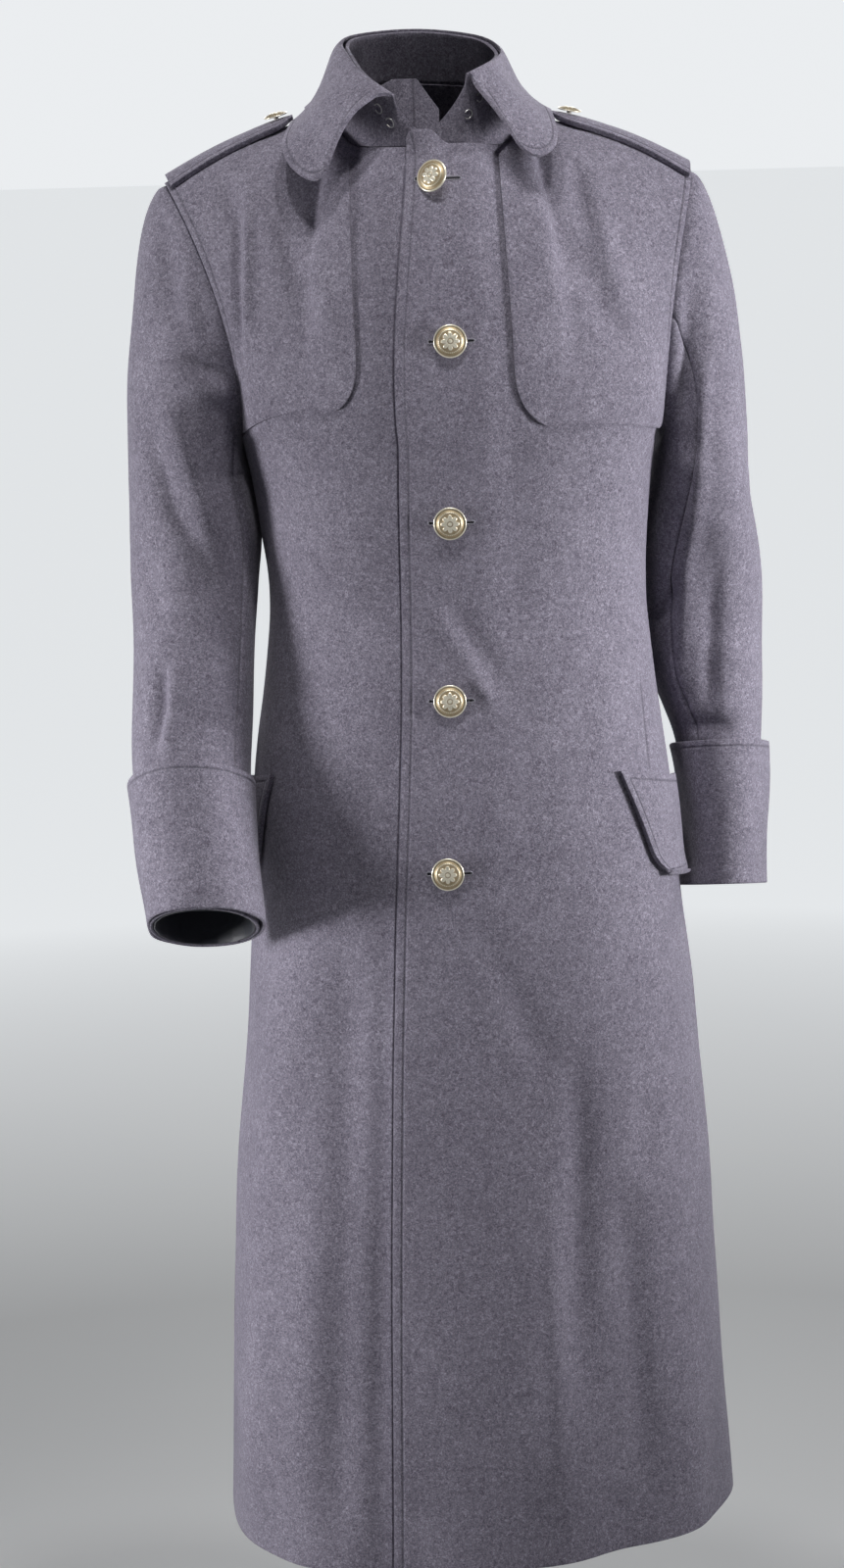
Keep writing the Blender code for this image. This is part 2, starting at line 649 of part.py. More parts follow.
def make_panels(sheets, look, collection):
    for (face, side), sheet in sheets.items():
        if face == "sleeve":
            continue
        points = shrink_edges(sheet["points"], SEAM_GAP / 2.0)
        lean = sheet["lean"]
        if (face, side) == ("front", "left"):
            lift = np.array([lap_share(column) for column in range(FRONT_COLUMNS + 1)]) * LAP_LIFT
            points = points + lean * lift[None, :, None]
        make_wall(f"{face}_{side}", points, points - lean * CLOTH, sheet["sign"], look, collection)


def make_sleeves(sheets, look, collection):
    for side, sign in SIDE_SIGN.items():
        sheet = sheets["sleeve", side]
        around = 2 * UPPER_ROWS
        seam = FRONT_SLEEVE_SEAM[side]
        top = [column % around for column in range(REAR_SLEEVE_SEAM - around, seam + 1)]
        under = list(range(seam, REAR_SLEEVE_SEAM + 1))
        for name, columns in (("top_sleeve", top), ("under_sleeve", under)):
            points = shrink_edges(sheet["points"][:, columns], SEAM_GAP / 2.0)
            inner = points - sheet["lean"][:, columns] * CLOTH
            make_wall(f"{name}_{side}", points, inner, sign, look, collection)


def between(grid, row, column):
    """A value between the points of a grid."""
    i, j = min(int(row), grid.shape[0] - 2), min(int(column), grid.shape[1] - 2)
    u, v = row - i, column - j
    beside = grid[i, j + 1] if u <= v else grid[i + 1, j]
    first, second = (v, u) if u <= v else (u, v)
    return grid[i, j] + (beside - grid[i, j]) * first + (grid[i + 1, j + 1] - beside) * second


def make_yokes(sheets, look, collection):
    """The chest panels, laid on the fronts from their own points, with one corner rounded."""
    for side, sign in SIDE_SIGN.items():
        sheet = sheets["front", side]
        foot = YOKE_FOOT[side]
        rows = [0.0, 0.5] + [row - foot for row in range(LOWER_ROWS + 2, LOWER_ROWS + UPPER_ROWS + 1)]
        columns = [0.0, 0.5] + list(range(1, NECK_COLUMNS + SHOULDER_COLUMNS + 1))
        grids = {"points": [], "lean": []}
        for kind, grid in grids.items():
            for i, row in enumerate(rows):
                line = []
                for j, column in enumerate(columns):
                    across, up = YOKE_CORNER.get((i, j), (column, row))
                    line.append(between(sheet[kind], foot + up, YOKE_START + across))
                grid.append(line)
        points = shrink_edges(np.array(grids["points"]), SEAM_GAP)
        lean = np.array(grids["lean"])
        neck = slice(0, NECK_COLUMNS + 2)
        down = points[-2, neck] - points[-1, neck]
        points[-1, neck] += down / np.linalg.norm(down, axis=1, keepdims=True) * YOKE_BELOW_NECK
        inner = points + lean * YOKE_GAP
        make_wall(f"yoke_{side}", inner + lean * YOKE_CLOTH, inner, sign, look, collection)


def collar(angle):
    return read_table(COLLAR_COLUMNS, COLLAR, angle)


def fall_point(angle, part):
    """A point of the fall, from the fold at 0 to its free edge at 1."""
    row = collar(angle)
    fold = np.array((row["fold_x"], row["fold_y"], row["fold_z"]))
    edge = np.array((row["edge_x"], row["edge_y"], row["edge_z"]))
    roll = fold + (edge - fold) * row["reach"]
    roll[2] = fold[2] - row["drop"]
    away = edge - fold
    away[2] = 0.0
    puffed = fold + unit(away) * row["puff"] + np.array((0.0, 0.0, row["puff"] * PUFF_RISE))
    return bezier((fold, puffed, roll, edge), part)


def stand_top(angle):
    """The stand's upper edge, just inside and below the fold."""
    row = collar(min(max(angle, COLLAR[0][0]), COLLAR[-1][0]))
    fold = np.array((row["fold_x"], row["fold_y"], row["fold_z"]))
    inward = np.array((fold[0] - NECK_CENTRE_X, fold[1], 0.0))
    return fold - unit(inward) * STAND_INSIDE_FOLD - np.array((0.0, 0.0, STAND_BELOW_FOLD))


def stand_angles():
    """The angles of the stand's columns, which are those of the panels' neckline seams."""
    left = [UNDER_EDGE_ANGLE + (LINE_ANGLE["left"] - UNDER_EDGE_ANGLE) * k / CHEST_COLUMNS
            for k in range(CHEST_COLUMNS + 1)]
    line = LINE_ANGLE["left"]
    left += [line + (90.0 - line) * k / NECK_COLUMNS for k in range(1, NECK_COLUMNS + 1)]
    back = [90.0 + 90.0 * k / BACK_NECK_COLUMNS for k in range(1, 2 * BACK_NECK_COLUMNS + 1)]
    right = [270.0 + (90.0 - LINE_ANGLE["right"]) * k / NECK_COLUMNS for k in range(1, NECK_COLUMNS + 1)]
    start, end = 360.0 - LINE_ANGLE["right"], 360.0 + FRONT_EDGE_ANGLE
    right += [start + (end - start) * k / CHEST_COLUMNS for k in range(1, CHEST_COLUMNS + 1)]
    middle = (STAND_LEFT_ANGLE + UNDER_EDGE_ANGLE) / 2.0
    return [STAND_LEFT_ANGLE, middle] + left + back + right + [STAND_RIGHT_ANGLE]


def stand_point(angle, part):
    """A point of the stand. Its front ends lean back to where the fold starts."""
    foot = neck_point(angle) + np.array((0.0, 0.0, 2.0 * SEAM_GAP))
    top = stand_top(angle)
    if angle < COLLAR[0][0] or angle > COLLAR[-1][0]:
        end = COLLAR[0][0] if angle < 180.0 else COLLAR[-1][0]
        limit = STAND_LEFT_ANGLE if angle < 180.0 else STAND_RIGHT_ANGLE
        height = STAND_END_HEIGHT["left" if angle < 180.0 else "right"]
        share = abs(angle - end) / abs(limit - end)
        front = neck_point(angle) + np.array((0.0, STAND_END_BACK * height, height))
        top = top + (front - top) * share**STAND_END_BEND
    return foot + (top - foot) * part


def make_collar(look, stand_look, collection):
    angles = stand_angles()
    rows = np.linspace(0.0, 1.0, STAND_ROWS)
    points = np.array([[stand_point(angle, row) for angle in angles] for row in rows])
    normals = grid_normals(points, 1.0)
    make_wall("collar_stand", points, points - normals * CLOTH, 1.0, stand_look, collection)

    first, last = COLLAR[0][0], COLLAR[-1][0]
    angles = [first + step for step in FALL_NEAR_STEPS] + list(FALL_BACK_ANGLES)
    angles += [last - step for step in reversed(FALL_NEAR_STEPS)]
    grid = []
    for part in np.linspace(0.0, 1.0, FALL_ROWS + 1):
        line = []
        for angle in angles:
            from_end = min(angle - first, last - angle) / TIP_SPAN
            corner = TIP_ROUND * (1.0 - math.sqrt(max(0.0, 1.0 - max(0.0, 1.0 - from_end) ** 2)))
            line.append(fall_point(angle, part * (1.0 - corner)))
        grid.append(line)
    points = np.array(grid)
    normals = grid_normals(points, -1.0)
    make_wall("collar_fall", points, points - normals * FOLD_CLOTH, -1.0, look, collection)


def make_tab(look, collection):
    """The throat tab behind the open front ends of the stand."""
    grid = []
    for part in np.linspace(0.0, 1.0, TAB_ROWS):
        line = []
        for share in np.linspace(0.0, 1.0, TAB_COLUMNS):
            x = TAB_LEFT + (TAB_RIGHT - TAB_LEFT) * share
            along = (x - NECK_CENTRE_X) / NECK_HALF
            y = TAB_INSIDE - NECK_FRONT * math.sqrt(1.0 - along**2) + TAB_LEAN * part
            crease = TAB_CREASE_DEPTH * math.exp(-((x - TAB_CREASE) / TAB_CREASE_WIDTH) ** 2)
            top = TAB_TOP - TAB_RIGHT_SLOPE * max(0.0, x - TAB_SHOULDERS[1])
            top -= TAB_LEFT_SLOPE * max(0.0, TAB_SHOULDERS[0] - x)
            line.append((x, y + crease, TAB_FOOT + (top - TAB_FOOT) * part))
        grid.append(line)
    points = np.array(grid)
    normals = grid_normals(points, 1.0)
    make_wall("throat_tab", points, points - normals * TAB_CLOTH, 1.0, look, collection)


def make_cuffs(look, lining_look, collection):
    """The turned-back cuffs, and the lining that shows in the mouth of the right one."""
    for side, sign in SIDE_SIGN.items():
        stations = [entry[0] for entry in ARMS[side]]
        lean = math.radians(ARMS[side][-1][-1])
        foot = stations[-1]
        head = foot + CUFF_DEPTH * math.cos(lean)
        around = 2 * UPPER_ROWS
        rows = []
        for row in range(CUFF_ROWS + 1):
            part = row / CUFF_ROWS
            z = head + (foot - head) * part
            ease = CLOTH + LAY_GAP + CUFF_EASE * (1.0 - part) ** 2 + CUFF_TURN
            rows.append([arm_ring_point(side, 360.0 * k / around, z, ease) for k in range(around)])
        points = np.array(rows)
        normals = grid_normals(points, sign, wrapped=True)
        make_wall(f"cuff_{side}", points, points - normals * CLOTH, sign, look, collection, wrapped=True)
        if side == "left":
            continue
        rows = []
        for row in range(4):
            z = foot + LINING_DEPTH * (1.0 - row / 3.0)
            ease = -CLOTH - LAY_GAP
            rows.append([arm_ring_point(side, 360.0 * k / around, z, ease) for k in range(around)])
        points = np.array(rows)
        normals = grid_normals(points, sign, wrapped=True)
        inner = points - normals * LINING_CLOTH
        make_wall("cuff_lining_right", points, inner, sign, lining_look, collection, wrapped=True)


def down_panel(side, face, column, distance):
    """The point that lies a given way down a panel from the shoulder seam."""
    top_row = LOWER_ROWS + UPPER_ROWS
    last = panel_point(side, face, column, top_row)
    gone = 0.0
    row = float(top_row)
    while gone < distance:
        step = min(0.05, row - LOWER_ROWS)
        point = panel_point(side, face, column, row - step)
        length = float(np.linalg.norm(point - last))
        if gone + length > distance:
            return last + (point - last) * (distance - gone) / length
        gone += length
        last = point
        row -= step
    return last


def strap_place(side, share, across):
    """A point on the shoulder under the strap: share runs in from the armhole, across from back to front."""
    part = 1.0 - share
    if across >= 0.0:
        return down_panel(side, "front", YOKE_START + NECK_COLUMNS + part * SHOULDER_COLUMNS, across)
    return down_panel(side, "back", BACK_NECK_COLUMNS + part * SHOULDER_COLUMNS, -across)


def strap_half_width(share):
    """The strap tapers, and its end comes to a blunt point."""
    taper = STRAP_HALF_WIDTH + (STRAP_TIP_HALF_WIDTH - STRAP_HALF_WIDTH) * share
    if share <= STRAP_TIP_START:
        return taper
    into_tip = (share - STRAP_TIP_START) / STRAP_TIP_SPAN
    return taper * max(STRAP_TIP_BLUNT, math.sqrt(1.0 - into_tip**2))


def make_straps(look, metal, collection):
    for side, sign in SIDE_SIGN.items():
        grid = []
        for row in range(STRAP_ROWS + 1):
            along = row / STRAP_ROWS
            share = STRAP_START + (STRAP_END[side] - STRAP_START) * along
            half = strap_half_width(along)
            across = np.linspace(-half, half, STRAP_ACROSS + 1)
            line = [strap_place(side, share, distance) for distance in across]
            grid.append(line)
        points = np.array(grid)
        normals = grid_normals(points, -sign)
        into_rise = (np.arange(STRAP_ROWS + 1) / STRAP_ROWS - STRAP_RISE_START) / (1.0 - STRAP_RISE_START)
        rise = np.array([STRAP_TIP_RISE * smooth(part) for part in into_rise])
        inner = points + normals * (STRAP_LIFT + rise[:, None, None])
        outer = inner + normals * STRAP_CLOTH
        make_wall(f"strap_{side}", outer, inner, -sign, look, collection)
        seat = outer[STRAP_ROWS - 1, STRAP_ACROSS // 2]
        up = normals[STRAP_ROWS - 1, STRAP_ACROSS // 2]
        make_button(f"strap_button_{side}", seat, up, STRAP_BUTTON_RADIUS, metal, collection)


def make_button(name, seat, out, radius, metal, collection):
    """A domed metal button with a rolled rim, turned round its shank."""
    size = radius / BUTTON_RADIUS
    mesh = bpy.data.meshes.new(name)
    points = [(r * size, 0.0, z * size) for r, z in BUTTON_PROFILE]
    mesh.from_pydata(points, [(k, k + 1) for k in range(len(points) - 1)], [])
    mesh.materials.append(make_material(name, metal))
    piece = bpy.data.objects.new(name, mesh)
    collection.objects.link(piece)
    turn = piece.modifiers.new("Turn", "SCREW")
    turn.steps = BUTTON_STEPS
    turn.render_steps = BUTTON_STEPS
    turn.use_merge_vertices = True
    turn.merge_threshold = 0.00002
    turn.use_smooth_shade = True
    place = Vector(seat) + Vector(out) * SEAM_GAP
    piece.matrix_world = Matrix.Translation(place) @ Vector(out).to_track_quat("Z", "Y").to_matrix().to_4x4()
    return piece


def left_front_seat(sheets, x, z):
    """The place on the left front that is seen at x and z, and the way its cloth faces there."""
    points, lean = sheets["front", "left"]["points"], sheets["front", "left"]["lean"]
    for row in range(points.shape[0] - 1):
        for column in range(LAP_COLUMNS):
            low, high = points[row, column], points[row + 1, column + 1]
            if low[2] <= z <= high[2] and low[0] <= x <= high[0]:
                u = (z - low[2]) / (high[2] - low[2])
                v = (x - low[0]) / (high[0] - low[0])
                out = unit(between(lean, row + u, column + v))
                return between(points, row + u, column + v) + out * (LAP_LIFT + BUTTON_SEAT), out
    raise ValueError(f"no cloth of the left front at {x}, {z}")


def make_front_buttons(sheets, metal, collection):
    for number, (x, z) in enumerate(BUTTON_PLACES, start=1):
        seat, out = left_front_seat(sheets, x, z)
        upright = unit(out * np.array((1.0, 1.0, BUTTON_UPRIGHT)))
        make_button(f"button_{number}", seat, upright, BUTTON_RADIUS, metal, collection)


def flap_start(depth):
    """How far back the flap's front edge has come at a depth: a slant with its lower corner rounded."""
    low = max(0.0, depth - (FLAP_DEPTH - FLAP_ROUND))
    return FLAP_SLANT * depth + FLAP_ROUND - math.sqrt(max(0.0, FLAP_ROUND**2 - low**2))


def flap_point(side, along, depth):
    """A point of the body under the flap, a given way back and down from its front top corner."""
    sign = SIDE_SIGN[side]
    z = FLAP_TOP_Z - depth - FLAP_FALL * along
    row = level(z)
    start = math.radians(angle_at(level(FLAP_TOP_Z), FLAP_START[side]))
    radius = (row["half_width"] + row["front"]) / 2.0
    angle = math.degrees(start + sign * along / radius)
    return body_point(angle, z)


def make_flaps(look, collection):
    for side, sign in SIDE_SIGN.items():
        grid = []
        for depth in FLAP_DEPTHS:
            start = flap_start(depth)
            steps = np.linspace(start, FLAP_LENGTH, FLAP_COLUMNS + 1)
            grid.append([flap_point(side, along, depth) for along in steps])
        points = np.array(grid)
        normals = grid_normals(points, -sign)
        stand = np.array([FLAP_GAP + FLAP_STAND_OFF * (depth / FLAP_DEPTH) ** 2 for depth in FLAP_DEPTHS])
        inner = points + normals * stand[:, None, None]
        outer = inner + normals * FLAP_CLOTH
        make_wall(f"pocket_flap_{side}", outer, inner, -sign, look, collection)


def make_wire(name, points, look, collection):
    curve = bpy.data.curves.new(name, "CURVE")
    curve.dimensions = "3D"
    curve.bevel_depth = WIRE
    curve.bevel_resolution = 0
    curve.use_fill_caps = True
    spline = curve.splines.new("POLY")
    spline.points.add(len(points) - 1)
    for target, point in zip(spline.points, points):
        target.co = (*point, 1.0)
    curve.materials.append(make_material(name, look))
    piece = bpy.data.objects.new(name, curve)
    collection.objects.link(piece)
    return piece


def make_hooks(look, collection):
    """Wire hooks and eyes that fasten the collar when it is turned up."""
    for name, angle, height in HOOK_PLACES:
        seat = stand_point(angle, height)
        beside = unit(stand_point(angle + HOOK_ANGLE_STEP, height) - seat)
        up = unit(stand_point(angle, height + HOOK_HEIGHT_STEP) - seat)
        out = np.cross(beside, up)
        centre = seat + out * (WIRE + SEAM_GAP)
        loop = []
        for step in range(HOOK_POINTS):
            turn = math.radians(HOOK_OPENING * (step / (HOOK_POINTS - 1) - 0.5))
            loop.append(centre + (beside * math.cos(turn) + up * math.sin(turn)) * HOOK_SIZE)
        make_wire(name, loop, look, collection)


def main():
    clear_scene()
    parts = make_collection(NAME)
    sheets = body_sheets()
    make_panels(sheets, MELTON, parts)
    make_sleeves(sheets, MELTON, parts)
    make_yokes(sheets, MELTON, parts)
    make_collar(MELTON, MELTON_SHADE, parts)
    make_tab(MELTON_SHADE, parts)
    make_cuffs(MELTON, LINING, parts)
    make_straps(MELTON, GILT, parts)
    make_flaps(MELTON, parts)
    make_front_buttons(sheets, GILT, parts)
    make_hooks(STEEL, parts)


main()
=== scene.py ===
# %% [markdown]
# # A grey melton greatcoat, dressed over its own solids
# Melton is a heavy wool cloth, milled until the weave is gone and only a short nap shows. This lesson cuts
# the coat's pieces as fine grids of cloth on the forms of the plain solids, sews and folds them, and
# lights them the way a coat hangs in a pale room. Everything is in metres, with +Z up and the front at -Y.

# %% Load the frame
import math

import bmesh
import bpy
import numpy as np
from mathutils import Matrix, Vector
from mathutils.bvhtree import BVHTree


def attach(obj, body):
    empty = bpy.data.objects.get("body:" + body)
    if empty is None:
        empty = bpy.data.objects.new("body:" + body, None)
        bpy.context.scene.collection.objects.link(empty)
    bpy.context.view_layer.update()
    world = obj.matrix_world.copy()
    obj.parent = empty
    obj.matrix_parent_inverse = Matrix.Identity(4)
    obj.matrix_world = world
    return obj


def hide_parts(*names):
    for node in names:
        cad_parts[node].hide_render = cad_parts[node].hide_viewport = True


SIDE_SIGN = {"left": 1.0, "right": -1.0}
FACE_SIGN = {"front": 1.0, "back": -1.0}

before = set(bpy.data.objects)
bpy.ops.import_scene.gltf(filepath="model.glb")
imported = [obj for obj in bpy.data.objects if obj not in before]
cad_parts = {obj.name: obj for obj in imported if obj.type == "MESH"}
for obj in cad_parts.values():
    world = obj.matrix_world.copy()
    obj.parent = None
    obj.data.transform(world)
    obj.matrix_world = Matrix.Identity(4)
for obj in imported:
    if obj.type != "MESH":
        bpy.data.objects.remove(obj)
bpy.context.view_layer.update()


def place_object(name, data, matrix=Matrix.Identity(4)):
    made = bpy.data.objects.new(name, data)
    bpy.context.scene.collection.objects.link(made)
    made.matrix_world = matrix
    return made


def into_mesh(shape, mesh):
    """Writes a finished shape into a mesh and frees it."""
    shape.to_mesh(mesh)
    shape.free()
    return mesh


print("solids in the frame:", len(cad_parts))

# %% [markdown]
# ## Camera
# The coat is seen from the front, a little from above, by a camera held about 1.6 degrees off level.
# The long side of the picture sets Blender's sensor width, so one focal length serves any frame size.

# %% The camera
PICTURE_HEIGHT = 1600.0
FOCAL_PIXELS = 3500.0
CAMERA_PLACE = (-0.0158, -2.75, 0.0095)
CAMERA_PITCH = 11.5
CAMERA_ROLL = 1.6

lens = bpy.data.cameras.new("camera")
lens.sensor_width = 36.0
lens.lens = lens.sensor_width * FOCAL_PIXELS / PICTURE_HEIGHT
tilt = Matrix.Rotation(math.radians(90.0 - CAMERA_PITCH), 4, "X")
roll = Matrix.Rotation(math.radians(-CAMERA_ROLL), 4, "Z")
bpy.context.scene.camera = place_object("camera", lens, Matrix.Translation(CAMERA_PLACE) @ tilt @ roll)
print("lens in millimetres:", round(lens.lens, 2))

# %% [markdown]
# ## Writing a shader as sums
# A material is a web of nodes. A small class wraps one number socket and gives it the signs of
# arithmetic, so that a pattern reads like a formula. Colours go through Mix nodes, because a Math node
# would turn them grey.

# %% Numbers as nodes
class Number:
    """One number socket of a node tree, with arithmetic."""

    def __init__(self, nodes, socket):
        self.nodes = nodes
        self.socket = socket

    def math(self, operation, *values):
        node = self.nodes.add("ShaderNodeMath", {"operation": operation}, dict(enumerate((self, *values))))
        return Number(self.nodes, node.outputs[0])

    def __add__(self, other):
        return self.math("ADD", other)

    def __sub__(self, other):
        return self.math("SUBTRACT", other)

    def __rsub__(self, other):
        return self * -1.0 + other

    def __mul__(self, other):
        return self.math("MULTIPLY", other)

    def __truediv__(self, other):
        return self.math("DIVIDE", other)


class Nodes:
    """A node tree. One method makes every kind of node."""

    def __init__(self, tree):
        self.tree = tree

    def add(self, kind, settings, inputs):
        node = self.tree.nodes.new(kind)
        for key, value in settings.items():
            setattr(node, key, value)
        for key, value in inputs.items():
            self.feed(node.inputs[key], value)
        return node

    def feed(self, socket, value):
        if isinstance(value, Number):
            value = value.socket
        if isinstance(value, bpy.types.NodeSocket):
            self.tree.links.new(value, socket)
        else:
            socket.default_value = value

    def spread(self, value, low, high):
        """The value's range from low to high, stretched to 0 to 1 and kept there."""
        limits = {"Value": value, "From Min": low, "From Max": high}
        return Number(self, self.add("ShaderNodeMapRange", {"clamp": True}, limits).outputs["Result"])

    def mix(self, factor, first, second):
        return self.add("ShaderNodeMix", {"data_type": "RGBA"}, {0: factor, 6: first, 7: second}).outputs[2]

    def parts(self, vector):
        """The three numbers of a vector."""
        made = self.add("ShaderNodeSeparateXYZ", {}, {0: vector})
        return [Number(self, socket) for socket in made.outputs]


class Finish(Nodes):
    """A material and its nodes. Constant values are set straight on the shader's own sockets."""

    def __init__(self, name, colour, roughness, **constants):
        self.material = bpy.data.materials.new(name)
        self.material.use_nodes = True
        self.material.diffuse_color = colour
        super().__init__(self.material.node_tree)
        self.shader = self.tree.nodes["Principled BSDF"]
        for socket, value in {"Base_Color": colour, "Roughness": roughness, **constants}.items():
            self.shader.inputs[socket.replace("_", " ")].default_value = value
        self.place = self.add("ShaderNodeTexCoord", {}, {}).outputs["Object"]

    def show(self, socket, value):
        self.feed(self.shader.inputs[socket], value)

    def noise(self, scale, detail=2.0, rough=0.5, distortion=0.0, stretch=(1.0, 1.0, 1.0)):
        where = self.add("ShaderNodeVectorMath", {"operation": "MULTIPLY"}, {0: self.place, 1: stretch})
        made = self.add("ShaderNodeTexNoise", {}, {
            "Vector": where.outputs[0], "Scale": scale, "Detail": detail,
            "Roughness": rough, "Distortion": distortion})
        return Number(self, made.outputs["Fac"])

    def attribute(self, name):
        return self.parts(self.add("ShaderNodeAttribute", {"attribute_name": name}, {}).outputs["Vector"])

    def bump(self, height, depth, strength=1.0):
        made = self.add("ShaderNodeBump", {}, {"Height": height, "Distance": depth, "Strength": strength})
        self.show("Normal", made.outputs["Normal"])


def near(value, width):
    """1 where the value is 0, falling off to 0 about a width away on either side."""
    over = value / width
    return (over * over * -1.0).math("EXPONENT")


print("a shader sum has the signs + - * /")

# %% [markdown]
# ## Floor and light
# The coat is lit from both sides by large soft panels, so its edges are brighter than its middle, and
# by two small lamps high in front, which throw the collar's shadow straight down onto the chest. The
# room in front is dim. The far floor and the horizon glow a little, as a white sheet behind would.

# %% Floor, lamps and world
FLOOR_Z = -1.62
FLOOR_SIZE = 120.0
LAMPS = (
    ("left_ceiling_lamp", (-0.22, -0.85, 1.75), (0.0, -0.08, -0.2), 0.16, 8.3, (1.0, 0.99, 0.98), 130.0),
    ("right_ceiling_lamp", (0.36, -0.85, 1.75), (0.0, -0.08, -0.15), 0.16, 8.2, (1.0, 0.99, 0.98), 130.0),
    ("left_panel", (-2.0, -0.52, -0.55), (-0.18, -0.05, -0.68), 0.6, 9.2, (1.0, 0.99, 1.0), 80.0),
    ("right_panel", (1.9, -0.45, -0.3), (0.22, -0.05, -0.36), 0.6, 5.9, (1.0, 0.99, 1.0), 60.0),
    ("back_panel", (0.0, 2.6, 0.8), (0.0, 0.0, -0.4), 1.6, 26.0, (1.0, 1.0, 1.0), 180.0),
)
HORIZON = (0.83, 0.85, 0.87, 1.0)
ROOM = (0.038, 0.038, 0.042, 1.0)
HORIZON_HEIGHT = 0.075
FLOOR_GLOW_BEHIND = 0.74
FLOOR_GLOW_IN_FRONT = 0.08
GLOW_REACH = (2.4, 4.3)
GLOW_DEPTHS = (-1.0, 0.8)


def make_lamp(name, place, target, size, power, colour, spread):
    light = bpy.data.lights.new(name, "AREA")
    light.shape = "DISK"
    light.size = size
    light.energy = power
    light.color = colour
    light.spread = math.radians(spread)
    aim = (Vector(target) - Vector(place)).to_track_quat("-Z", "Y").to_matrix().to_4x4()
    place_object(name, light, Matrix.Translation(place) @ aim)


def make_world():
    world = bpy.data.worlds.new("pale_room")
    world.use_nodes = True
    sky = Nodes(world.node_tree)
    toward = sky.add("ShaderNodeTexCoord", {}, {}).outputs["Generated"]
    dim = sky.spread(sky.parts(toward)[2], HORIZON_HEIGHT / 2.0, HORIZON_HEIGHT)
    sky.feed(sky.tree.nodes["Background"].inputs["Color"], sky.mix(dim, HORIZON, ROOM))
    return world


def grey(level):
    """A pale grey a little on the blue side."""
    return (level * 0.97, level, level * 1.02, 1.0)


def make_floor():
    ground = bmesh.new()
    bmesh.ops.create_grid(ground, x_segments=1, y_segments=1, size=FLOOR_SIZE / 2.0)
    mesh = into_mesh(ground, bpy.data.meshes.new("floor"))
    mesh.transform(Matrix.Translation((0.0, 0.0, FLOOR_Z)))
    paint = Finish("pale_floor", (0.8, 0.82, 0.83, 1.0), 0.9, Emission_Strength=1.0)
    mottle = paint.noise(3.0, 2.0)
    paint.show("Base Color", paint.mix(mottle, (0.79, 0.81, 0.82, 1.0), (0.82, 0.835, 0.84, 1.0)))
    reach = paint.add("ShaderNodeVectorMath", {"operation": "LENGTH"}, {0: paint.place}).outputs["Value"]
    glow = paint.spread(reach, *GLOW_REACH)
    behind = paint.spread(paint.parts(paint.place)[1], *GLOW_DEPTHS)
    bright = paint.mix(behind, grey(FLOOR_GLOW_IN_FRONT), grey(FLOOR_GLOW_BEHIND))
    paint.show("Emission Color", paint.mix(glow, grey(0.0), bright))
    mesh.materials.append(paint.material)
    return place_object("floor", mesh)


for lamp in LAMPS:
    make_lamp(*lamp)
bpy.context.scene.world = make_world()
bpy.context.scene.view_settings.view_transform = "Standard"
make_floor()
print("lamps:", [lamp[0] for lamp in LAMPS])

# %% [markdown]
# ## Melton
# Close up, the cloth is a felt of blue-grey and slate fibres: fine squiggles of nap 1 to 3 mm long, over
# slow patches where the nap lies another way. The fibres catch light at a glancing angle, which is what
# sheen is for. Rows of machine stitches sink a groove near the edges, and the colour in the groove is
# darkened as painted shade. The cloth carries, in an attribute, how far each place lies from its stitch
# line and how far along it, so one material sews every piece.

# %% The cloth
MELTON_DARK = (0.07, 0.063, 0.086)
MELTON_MID = (0.166, 0.153, 0.196)
MELTON_PALE = (0.33, 0.312, 0.375)
THREAD_COLOUR = (0.08, 0.077, 0.098)
MELTON_NOISES = ((410.0, 3.0, 0.66, 1.4), (900.0, 2.0, 0.6, 0.6), (16.0, 3.0, 0.55), (85.0, 2.0, 0.5))
STITCH_LENGTH = 0.0032
GROOVE_WIDTH = 0.0009
THREAD_WIDTH = 0.0004
BUMP_DEPTH = 0.0011


# A shade below 1 darkens every colour of a copy of the cloth: painted shade.
def make_melton(name, shade=1.0):
    def shaded(colour):
        return (*(part * shade for part in colour), 1.0)

    cloth = Finish(name, shaded(MELTON_MID), 0.93, Sheen_Weight=0.22, Sheen_Roughness=0.45,
                   Sheen_Tint=(0.8, 0.77, 0.88, 1.0), Specular_IOR_Level=0.25)
    nap, fibre, patch, cloudy = (cloth.noise(*row) for row in MELTON_NOISES)
    level = cloth.spread(nap * 0.56 + fibre * 0.3 + cloudy * 0.07 + patch * 0.07, 0.36, 0.64)
    low = cloth.mix(cloth.spread(level, 0.0, 0.5), shaded(MELTON_DARK), shaded(MELTON_MID))
    colour = cloth.mix(cloth.spread(level, 0.5, 1.0), low, shaded(MELTON_PALE))

    away, along, sewn = cloth.attribute("stitch")
    # Along each stitch line the colour darkens in a narrow groove: painted shade, over the real bump.
    groove_and_painted_shade = near(away, GROOVE_WIDTH) * sewn
    dash = cloth.spread((along / STITCH_LENGTH).math("FRACT").math("PINGPONG", 0.5), 0.07, 0.16)
    thread = near(away, THREAD_WIDTH) * sewn * dash
    # The dart's line and the line beside the lap darken the colour: painted shade and painted shadow.
    from_shaded_line, _, dart_and_lap_shadow = cloth.attribute("dart_and_lap_shadow")
    painted_line_shade = near(from_shaded_line, GROOVE_WIDTH) * dart_and_lap_shadow
    colour = cloth.mix(groove_and_painted_shade * 0.32 + painted_line_shade * 0.5, colour, shaded(MELTON_DARK))
    cloth.show("Base Color", cloth.mix(thread * 0.55, colour, shaded(THREAD_COLOUR)))
    relief = nap * 0.34 + fibre * 0.2 + cloudy * 0.22 + thread * 0.35 - groove_and_painted_shade * 1.1 - painted_line_shade * 1.3
    cloth.bump(relief, BUMP_DEPTH, 0.75)
    return cloth.material


MELTON = make_melton("melton")
# The collar band and the throat piece sit under the collar, so they take the cloth darkened to 0.86:
# painted shade.
MELTON_PAINTED_SHADE = make_melton("melton_painted_shade", 0.86)
print("cloth materials:", MELTON.name, MELTON_PAINTED_SHADE.name)
